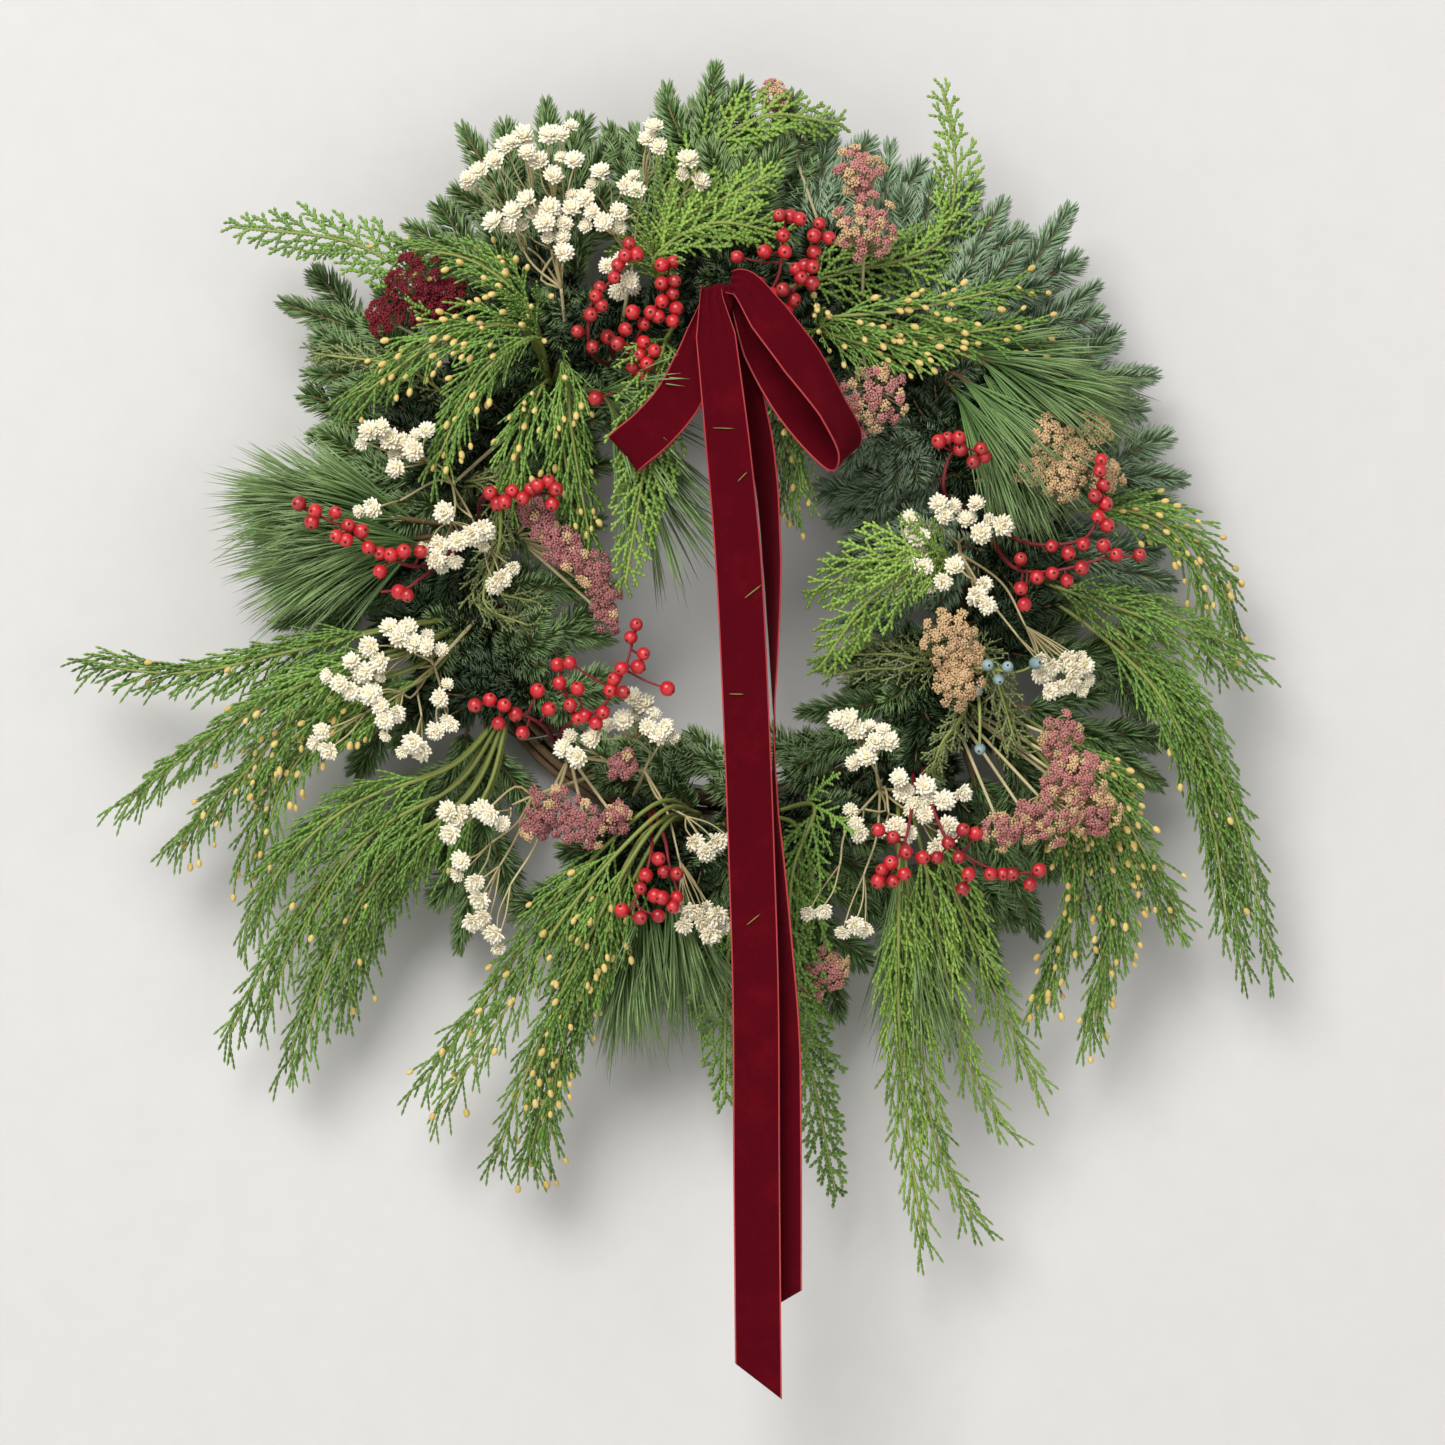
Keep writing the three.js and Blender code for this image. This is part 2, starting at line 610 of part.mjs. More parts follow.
// The fork's corners, and by its first corner the head that each flat between two carries.
function forkCorners(sorted, angles) {
  const corners = [angles[0] - FORK_SPACING / 2];
  const headOf = new Map();
  sorted.forEach((head, i) => {
    const after = angles[i + 1] ?? corners[0] + 2 * Math.PI;
    headOf.set(corners.length - 1, head);
    corners.push(Math.min((angles[i] + after) / 2, angles[i] + FORK_SPACING));
    const isWide = after - angles[i] > 3 * FORK_SPACING && i + 1 < sorted.length;
    if (isWide) corners.push(after - FORK_SPACING / 2);
  });
  const end = corners[0] + 2 * Math.PI - FORK_SPACING;
  for (let turn = corners.at(-1) + BARE_TURN; turn < end; turn += BARE_TURN) corners.push(turn);
  return { corners, headOf };
}

function flowerOnFork(owner, middle, head, quad, random) {
  const radius = FLOWER_RADIUS * (0.85 + 0.3 * random());
  const spin = 6 * random();
  const start = quad[0].clone().lerp(quad[2], 0.5);
  const across = place(head).sub(middle).setY(0).normalize().cross(FRONT);
  const centre = FLOWER_SHIFTS
    .map(({ forward, aside }) => place(head).addScaledVector(FRONT, forward).addScaledVector(across, aside))
    .find((spot) => flowerFits(owner, start, spot, radius));
  if (!centre) throw new Error(`no room for a flower of ${owner} at ${head}`);
  const axis = leaning(centre.clone().sub(start).normalize(), 0.5, random);
  occupy(owner, start, start.clone().lerp(centre, 0.2), 3 * FLOWER_STEM, 'foot');
  occupy(owner, start, start.clone().lerp(centre, 0.6), 2 * FLOWER_STEM, 'foot');
  occupy(owner, start, centre, FLOWER_STEM, 'stalk');
  occupy(owner, centre, centre, radius, 'flower');
  return flowerBud(quad, centre, axis, radius, spin);
}

function flowerFork(owner, middle, heads, random) {
  const { sorted, angles } = roundTheFork(middle, heads);
  const { corners, headOf } = forkCorners(sorted, angles);
  const disc = [-1, 1].map((side) => corners.map((turn) => {
    const out = new THREE.Vector3(Math.cos(turn), 0, Math.sin(turn)).multiplyScalar(FORK_RADIUS);
    return out.add(middle).addScaledVector(FRONT, (side * FORK_DEPTH) / 2);
  }));
  const buds = new Map();
  for (const [corner, head] of headOf) {
    const next = (corner + 1) % corners.length;
    const quad = [disc[0][corner], disc[0][next], disc[1][next], disc[1][corner]];
    buds.set(corner, flowerOnFork(owner, middle, head, quad, random));
  }
  const [back, front] = [-1, 1].map((side) => middle.clone().addScaledVector(FRONT, side * FORK_DEPTH));
  occupy(owner, back, front, FORK_RADIUS, 'fork');
  return solidOf(loft(disc, { buds, startPoint: back, endPoint: front }));
}

function flowerSpray({ name, at, row = 0, seed, fork, heads }) {
  const random = seededRandom(seed);
  const { roots, solid } = hub(name, at, row, [[fork]]);
  const stem = growStem(name, roots[0], [fork], LOOKS.stalk, random);
  const flowers = flowerFork(name, stem.path.at(-1), heads, random);
  addPiece(name, 'flower', fuse([solid, stem.solid, flowers]));
}

// A domed head of florets on its stalk, each floret raised from the dome as a point.
const DOME_RINGS = 3;
const DOME_SIDES = 8;

function headOnStalk(path, axis, radius) {
  const curve = new THREE.CatmullRomCurve3(path, false, 'centripetal');
  const frames = pathFrames(pathSteps(curve, LOOKS.stalk).map((t) => curve.getPointAt(t)));
  const stalk = frames.map(({ point, tangent, side }, k) => {
    const way = k + 1 < frames.length ? tangent : axisBetween(tangent, axis);
    return ringAcross(point, way, side, evenAngles(3), () => LOOKS.stalk.radius[0]);
  });
  const { side } = frames.at(-1);
  const centre = path.at(-1).clone().addScaledVector(axis, 0.7 * radius);
  const rings = Array.from({ length: DOME_RINGS }, (_, k) => {
    const slope = Math.PI * (0.34 + (0.6 * k) / DOME_RINGS);
    const reach = (j) => radius * ((k + j) % 2 ? 0.86 : 1.06);
    return ringAcross(centre, axis, side, evenAngles(DOME_SIDES), (j) => reach(j) * Math.sin(slope),
      (j) => -0.62 * reach(j) * Math.cos(slope));
  });
  return skin([...stalk, ...rings], centre.clone().addScaledVector(axis, 0.66 * radius));
}

function occupyDome(owner, centre, radius) {
  const [edge, rim] = [5, radius - 5];
  occupy(owner, centre, centre, Math.max(edge, rim));
  for (const angle of evenAngles(8)) {
    const spot = centre.clone().add(new THREE.Vector3(rim * Math.cos(angle), 0, rim * Math.sin(angle)));
    occupy(owner, centre, spot, edge + 0.06 * radius);
  }
}

function flowerHeads({ name, at, row = 0, seed, colour, heads }) {
  const random = seededRandom(seed);
  const stems = heads.map(([x, z, depth, radius]) => [[x, z, depth - 0.7 * radius]]);
  const { roots, solid } = hub(name, at, row, stems);
  const solids = heads.map(([, , , radius], i) => {
    const path = clearPath(name, stemPath(roots[i], stems[i]), LOOKS.stalk);
    const axis = leaning(path.at(-1).clone().sub(path.at(-2)).normalize(), 0.4, random);
    path.slice(1).forEach((point, k) => occupy(name, path[k], point, LOOKS.stalk.radius[0], 'stalk'));
    occupyDome(name, path.at(-1).clone().addScaledVector(axis, 0.7 * radius), radius);
    return headOnStalk(path, axis, radius);
  });
  addPiece(name, colour, fuse([solid, ...solids]));
}

// ---- frame: rails, bars, hanging loop, bound stems and their wire ---------------------------

function rail(radius) {
  const ring = new THREE.TorusGeometry(radius, RAIL_WIRE, 4, 26);
  ring.rotateX(Math.PI / 2);
  return solidOf(ring);
}

function ringFrame() {
  const solids = [rail(RING_RADIUS - RAIL_OFFSET), rail(RING_RADIUS + RAIL_OFFSET)];
  for (let i = 0; i < BAR_COUNT; i += 1) {
    const bar = new THREE.BoxGeometry(2 * RAIL_OFFSET, 2 * RAIL_WIRE * 0.7, 2 * RAIL_WIRE * 0.7);
    bar.translate(RING_RADIUS, 0, 0);
    bar.rotateY((2 * Math.PI * (i + 0.5)) / BAR_COUNT);
    solids.push(solidOf(bar));
  }
  addPiece('ring_frame', 'wire', fuse(solids));
}

function hangingLoop() {
  const loop = new THREE.TorusGeometry(LOOP_RADIUS, LOOP_WIRE, 4, 12);
  loop.rotateX(Math.PI / 2);
  loop.translate(0, 0, LOOP_HEIGHT);
  const collar = new THREE.TorusGeometry(COLLAR_RADIUS, LOOP_WIRE * 0.9, 4, 7);
  collar.rotateY(Math.PI / 2);
  collar.translate(0, 0, RING_RADIUS + RAIL_OFFSET);
  addPiece('hanging_loop', 'wire', solidOf(loop).add(solidOf(collar)));
}

// The bound stems' section, as corners [out from the mean radius, depth].
function stemsSection() {
  const half = STEMS_WIDTH / 2;
  const [back, front] = [STEMS_BACK, STEMS_FRONT];
  const middle = (back + front) / 2;
  return [
    [-half * 0.62, back], [-half, middle - 4], [-half * 0.94, middle + 5], [-half * 0.72, front],
    [half * 0.72, front], [half * 0.94, middle + 5], [half, middle - 4], [half * 0.62, back],
  ];
}

function boundStems() {
  const profile = stemsSection().map(([out, depth]) => new THREE.Vector2(RING_RADIUS + out, -depth));
  profile.push(profile[0].clone());
  const body = new THREE.LatheGeometry(profile, 26);
  const position = body.attributes.position;
  for (let i = 0; i < position.count; i += 1) {
    const [x, y, z] = [position.getX(i), position.getY(i), position.getZ(i)];
    const turn = Math.atan2(z, x);
    const onFront = Math.abs(y + STEMS_FRONT) < 0.1;
    const sink = onFront ? 0 : STEM_GROOVE * (0.5 + 0.5 * Math.sin(9 * turn + y));
    const radius = Math.hypot(x, z);
    const inward = radius - Math.sign(radius - RING_RADIUS) * sink;
    position.setXYZ(i, inward * Math.cos(turn), y, inward * Math.sin(turn));
  }
  const collarRoom = 2 * (COLLAR_RADIUS + LOOP_WIRE + GAP);
  const notch = new THREE.BoxGeometry(3 * LOOP_WIRE, collarRoom, collarRoom);
  notch.translate(0, 0, RING_RADIUS + RAIL_OFFSET);
  addPiece('bound_stems', 'stem', solidOf(body).subtract(solidOf(notch)));
}

// One wire wound round the stems and the frame's rails all the way round the ring.
function bindingWire() {
  const corners = [[-18.9, -3.2], [18.9, -3.2], [19.3, 18], [13.6, 27.4], [-13.6, 27.4], [-19.3, 18]];
  const steps = BINDING_TURNS * corners.length;
  const points = Array.from({ length: steps }, (_, i) => {
    const [out, depth] = corners[i % corners.length];
    const angle = 0.35 + (2 * Math.PI * 0.99 * i) / steps;
    const reach = RING_RADIUS + out;
    return place([reach * Math.cos(angle), reach * Math.sin(angle), depth]);
  });
  const path = points.flatMap((point, i) => (i ? [points[i - 1].clone().lerp(point, 0.5), point] : [point]));
  const frames = pathFrames(points);
  const rings = frames.map(({ point, side, normal }) => TURNS[3].map((angle) => (
    point.clone().addScaledVector(side, BINDING_WIRE * Math.cos(angle))
      .addScaledVector(normal, BINDING_WIRE * Math.sin(angle)))));
  path.slice(1).forEach((point, i) => occupy('binding_wire', path[i], point, BINDING_WIRE));
  addPiece('binding_wire', 'wire', solidOf(loft(rings)));
}

// ---- bow: one length of ribbon, tied; each run between its folds is a strip -----------------

// Each row: x, z, depth of the middle, width as a share of the ribbon, and the angle that the
// strip's width makes with the picture plane (0 faces the viewer, 90 is edge on). Rows without
// an angle carry the width on, unturned, from the row before.
const TAIL_FRONT = [
  [-6, 133, 122, 0.5, 0], [-6.6, 120, 127, 0.84, 8], [0, 60, 128, 0.95, 4], [5.5, 0, 127, 1, 0],
  [10, -90, 127, 1, 0], [13, -170, 127, 1, 0], [15, -240, 126, 1, 0], [15.5, -330, 125, 1, 0],
  [16.5, -447, 124, 1, 0],
];
const TAIL_BACK = [
  [1, 134, 108, 0.5, 20], [10, 95, 100, 0.9, 40], [20, 50, 104, 1, 62], [24, 0, 108, 1, 66],
  [25, -45, 110, 1, 80], [25, -90, 110, 1, 90], [25.5, -140, 110, 1, 82], [27, -200, 111, 1, 55],
  [28, -270, 112, 1, 25], [27.7, -340, 113, 1, 8], [27.6, -406, 113, 1, 0],
];
const LOOP_LEFT = [
  [-12, 143, 130, 0.5, 0], [-22, 124, 134, 0.85], [-33, 100, 136, 1], [-47, 74, 134, 1],
  [-56, 60, 130, 1], [-58.5, 56, 126, 1], [-56, 60, 121.5, 1], [-46, 76, 119, 1],
  [-32, 100, 118, 1], [-20, 122, 118, 0.8], [-12, 138, 119, 0.5],
];
const LOOP_RIGHT = [
  [5, 147, 130, 0.5, -20], [20, 133, 138, 0.9], [40, 106, 142, 1], [59, 74, 138, 1],
  [66, 60, 130, 1], [64, 54, 121, 1], [54, 62, 114, 1], [36, 84, 110, 1],
  [18, 112, 112, 0.9], [4, 136, 117, 0.5],
];
const TAIL_PITCH = 30;
const LOOP_PITCH = 11;
const TAIL_CUT = { front: 10, back: -7.5 };   // how far a tail's end is cut out of square

// The strip's middle, its width's direction and half its width and thickness at equal steps.
function stripFrames(rows, pitch) {
  const curve = new THREE.CatmullRomCurve3(rows.map((row) => place(row)), false, 'centripetal');
  const steps = Math.round(curve.getLength() / pitch);
  let across = null;
  return Array.from({ length: steps + 1 }, (_, k) => {
    const point = curve.getPointAt(k / steps);
    const tangent = curve.getTangentAt(k / steps);
    const at = curve.getUtoTmapping(k / steps) * (rows.length - 1);
    const low = Math.min(Math.floor(at), rows.length - 2);
    const between = (column) => THREE.MathUtils.lerp(rows[low][column], rows[low + 1][column], at - low);
    const [share, degrees] = [between(3), between(4)];
    if (k === 0 || !Number.isNaN(degrees)) {
      across = new THREE.Vector3(tangent.z, 0, -tangent.x).normalize();
      across.applyAxisAngle(tangent, THREE.MathUtils.degToRad(k ? degrees : rows[0][4]));
    }
    across = across.clone().addScaledVector(tangent, -across.dot(tangent)).normalize();
    const thick = tangent.clone().cross(across).multiplyScalar(RIBBON_THICK / 2);
    return { point, tangent, thick, half: across.clone().multiplyScalar((share * RIBBON_WIDTH) / 2) };
  });
}

function occupyStrip(name, frames) {
  const edges = frames.map(({ point, half }) => [point.clone().add(half), point.clone().sub(half)]);
  edges.forEach(([left, right], k) => {
    occupy(name, left, right, RIBBON_THICK);
    for (const share of k > 0 ? [0.25, 0.5, 0.75] : []) {
      const [a, b] = edges[k - 1];
      occupy(name, a.clone().lerp(left, share), b.clone().lerp(right, share), RIBBON_THICK);
    }
  });
}

function ribbonStrip(name, rows, pitch, cut = 0) {
  const frames = stripFrames(rows, pitch);
  occupyStrip(name, frames);
  const rings = frames.map(({ point, tangent, thick, half }, k) => {
    const slant = tangent.clone().multiplyScalar(k + 1 === frames.length ? cut : 0);
    const [left, right] = [point.clone().add(half).add(slant), point.clone().sub(half).sub(slant)];
    return [left.clone().add(thick), right.clone().add(thick), right.sub(thick), left.sub(thick)];
  });
  return solidOf(loft(rings, { isTurned: (k, j) => j === 2 }));
}

const KNOT = { centre: [-4, 141, 124], size: [17, 16, 17] };
const KNOT_ROOM = 9;              // no other piece comes this near to the knot's middle

function knotBody(grow) {
  const [width, depth, height] = KNOT.size.map((side) => side / 2 + grow);
  const body = new THREE.SphereGeometry(1, 10, 6);
  body.rotateX(Math.PI / 2);
  const position = body.attributes.position;
  for (let i = 0; i < position.count; i += 1) {
    const spot = new THREE.Vector3().fromBufferAttribute(position, i);
    const stretch = 1 / Math.max(Math.abs(spot.x), Math.abs(spot.y), Math.abs(spot.z)) ** 0.55;
    spot.multiplyScalar(stretch);
    position.setXYZ(i, spot.x * width, spot.y * depth, spot.z * height);
  }
  const centre = place(KNOT.centre);
  body.translate(centre.x, centre.y, centre.z);
  return solidOf(body);
}

function bow() {
  const knotRoom = knotBody(GAP);
  const strips = [
    ['ribbon_tail_front', TAIL_FRONT, TAIL_PITCH, TAIL_CUT.front],
    ['ribbon_tail_back', TAIL_BACK, TAIL_PITCH, TAIL_CUT.back],
    ['ribbon_loop_left', LOOP_LEFT, LOOP_PITCH], ['ribbon_loop_right', LOOP_RIGHT, LOOP_PITCH],
  ];
  for (const [name, ...strip] of strips) {
    addPiece(name, 'velvet', ribbonStrip(name, ...strip).subtract(knotRoom));
  }
  const [x, z, depth] = KNOT.centre;
  occupy('ribbon_knot', place([x, z - 4, depth]), place([x, z + 4, depth]), KNOT_ROOM);
  const back = place([x, z, STEMS_FRONT + GAP]);
  const front = place([x, z, depth]);
  const wire = new THREE.CylinderGeometry(BOW_WIRE, BOW_WIRE, back.distanceTo(front), 6);
  wire.translate(x, (back.y + front.y) / 2, z);
  occupy('ribbon_knot', back, front, BOW_WIRE);
  addPiece('ribbon_knot', 'velvet', knotBody(0).add(solidOf(wire)));
}

// ---- layout ---------------------------------------------------------------------------------

const BERRIES = [
  { name: 'berries_bow_left', at: [-62, 108], seed: 11, strands: [
    { count: 8, points: [[-76, 116, 96], [-74, 140, 104], [-58, 158, 106], [-53, 173, 102]] },
    { count: 8, points: [[-52, 118, 98], [-42, 134, 106], [-34, 148, 106], [-32, 163, 102]] },
    { count: 6, points: [[-64, 122, 98], [-54, 116, 106], [-44, 108, 106], [-48, 98, 102]] }] },
  { name: 'berries_bow_right', at: [38, 134], seed: 12, strands: [
    { count: 7, points: [[22, 142, 96], [28, 156, 104], [30, 174, 106], [32, 188, 102]] },
    { count: 8, points: [[34, 144, 96], [42, 156, 104], [48, 170, 104], [52, 184, 100]] }] },
  { name: 'berries_left', at: [-140, 14], seed: 13, strands: [
    { count: 10, points: [[-172, -4, 92], [-190, 4, 102], [-212, 18, 106], [-236, 29, 102]] },
    { count: 4, points: [[-168, -10, 92], [-176, -16, 98], [-190, -18, 98]] },
    { count: 7, points: [[-132, 36, 92], [-116, 34, 98], [-96, 36, 98]] }] },
  { name: 'berries_lower_left', at: [-96, -100], seed: 15, strands: [
    { count: 7, points: [[-106, -88, 96], [-120, -82, 104], [-139, -78, 104]] },
    { count: 10, points: [[-84, -88, 96], [-70, -82, 104], [-58, -64, 106], [-50, -38, 102]] }] },
  { name: 'berries_bottom', at: [-44, -132], seed: 16, strands: [
    { count: 5, points: [[-34, -156, 92], [-32, -168, 98], [-26, -186, 98]] },
    { count: 4, points: [[-42, -160, 92], [-46, -176, 98], [-54, -194, 98]] }] },
  { name: 'berries_right', at: [140, 24], seed: 17, strands: [
    { count: 6, points: [[170, 8, 92], [196, 12, 100], [204, 32, 102], [203, 54, 100]] },
    { count: 7, points: [[160, -6, 92], [182, -6, 100], [204, 0, 102], [228, 2, 100]] },
    { count: 4, points: [[118, 40, 92], [124, 60, 98], [140, 58, 98]] }] },
  { name: 'berries_lower_right', at: [104, -96], seed: 18, strands: [
    { count: 7, points: [[100, -140, 96], [96, -156, 104], [86, -176, 102]] },
    { count: 8, points: [[112, -136, 96], [122, -156, 104], [146, -170, 104], [172, -172, 98]] }] },
  { name: 'juniper_berries', colour: 'blueberry', radius: BLUE_BERRY_RADIUS, at: [132, -44], seed: 19,
    strands: [
    { count: 4, points: [[130, -58, 86], [142, -60, 94], [157, -62, 94]] },
    { count: 2, points: [[138, -80, 86], [138, -106, 90]] }] },
];

const FLOWERS = [
  { name: 'flowers_top_left', at: [-88, 108], seed: 21, fork: [-90, 150, 72], heads: [
    [-142, 208, 84], [-124, 224, 84], [-106, 226, 80], [-128, 184, 92],
    [-112, 190, 94], [-96, 194, 92], [-84, 216, 84], [-76, 168, 92]] },
  { name: 'flowers_top', at: [-60, 126], row: 1, seed: 22, fork: [-46, 180, 72], heads: [
    [-68, 186, 96], [-78, 196, 96], [-54, 203, 94], [-70, 212, 86], [-40, 236, 82],
    [-22, 218, 84], [-16, 206, 90], [-64, 160, 100], [-50, 150, 100]] },
  { name: 'flowers_left', at: [-118, 74], row: 1, seed: 23, fork: [-150, 50, 72], heads: [
    [-194, 74, 90], [-174, 62, 94], [-164, 70, 92], [-182, 50, 88],
    [-158, 8, 90], [-146, 12, 94], [-136, 18, 92], [-156, -2, 88]] },
  { name: 'flowers_left_low', at: [-138, -30], row: 1, seed: 24, fork: [-160, -58, 72], heads: [
    [-176, -42, 94], [-200, -54, 92], [-212, -68, 92], [-192, -78, 94],
    [-180, -88, 94], [-222, -94, 90], [-220, -106, 88], [-158, -76, 94], [-150, -90, 92],
    [-170, -102, 92]] },
  { name: 'flowers_low_left', at: [-72, -118], row: 1, seed: 25, fork: [-104, -128, 70], heads: [
    [-155, -138, 88], [-150, -150, 88], [-134, -138, 90], [-146, -166, 86], [-138, -180, 86],
    [-134, -196, 86], [-128, -208, 84]] },
  { name: 'flowers_middle_low', at: [-52, -130], row: -1, seed: 26, fork: [-46, -112, 70], heads: [
    [-52, -78, 92], [-58, -90, 94], [-38, -96, 92], [-82, -100, 92],
    [-12, -158, 88], [-22, -196, 86], [-8, -204, 88]] },
  { name: 'flowers_right', at: [140, -20], row: -1, seed: 27, fork: [128, 4, 72], heads: [
    [102, -2, 94], [106, 18, 92], [118, 28, 92], [136, 30, 90], [142, 14, 92],
    [118, -14, 94], [140, -24, 92], [182, -48, 96], [168, -58, 96], [184, -68, 96]] },
  { name: 'flowers_low_right', at: [86, -118], row: -1, seed: 28, fork: [82, -128, 70], heads: [
    [64, -90, 88], [78, -100, 90], [96, -122, 94], [112, -130, 94], [128, -124, 90],
    [110, -146, 98], [92, -146, 98], [120, -154, 98], [70, -148, 90], [72, -200, 84],
    [54, -194, 84]] },
];

const HEADS = [
  { name: 'head_burgundy', colour: 'burgundy', at: [-112, 92], seed: 31, heads: [
    [-172, 154, 78, 17], [-190, 134, 76, 10], [-156, 146, 74, 11]] },
  { name: 'head_pink_bow', colour: 'pink', at: [74, 119], seed: 32, heads: [
    [72, 214, 80, 14], [75, 182, 92, 19], [26, 258, 54, 9], [80, 88, 94, 19], [66, 68, 86, 10]] },
  { name: 'head_mauve_left', colour: 'mauve', at: [-118, 14], seed: 34, heads: [
    [-106, 26, 82, 8], [-92, 8, 92, 12], [-74, -8, 92, 11], [-66, -30, 88, 8]] },
  { name: 'head_beige_right', colour: 'beige', at: [134, 44], row: 1, seed: 35, heads: [
    [178, 66, 86, 13], [202, 72, 84, 9], [184, 44, 88, 12], [208, 46, 82, 9]] },
  { name: 'head_beige_middle', colour: 'beige', at: [138, -36], row: -1, seed: 36, heads: [
    [122, -44, 92, 16], [126, -68, 88, 14]] },
  { name: 'head_pink_large', colour: 'pink', at: [120, -74], row: 1, seed: 37, heads: [
    [182, -98, 90, 13], [196, -118, 94, 14], [180, -140, 96, 17], [202, -138, 90, 13], [150, -148, 88, 11]] },
  { name: 'head_mauve_low', colour: 'mauve', at: [-88, -108], seed: 38, heads: [
    [-96, -136, 90, 14], [-78, -146, 92, 13], [-62, -142, 88, 8], [-58, -112, 88, 8]] },
  { name: 'head_pink_low', colour: 'pink', at: [40, -134], seed: 39, heads: [
    [56, -226, 66, 12], [44, -236, 62, 8]] },
];

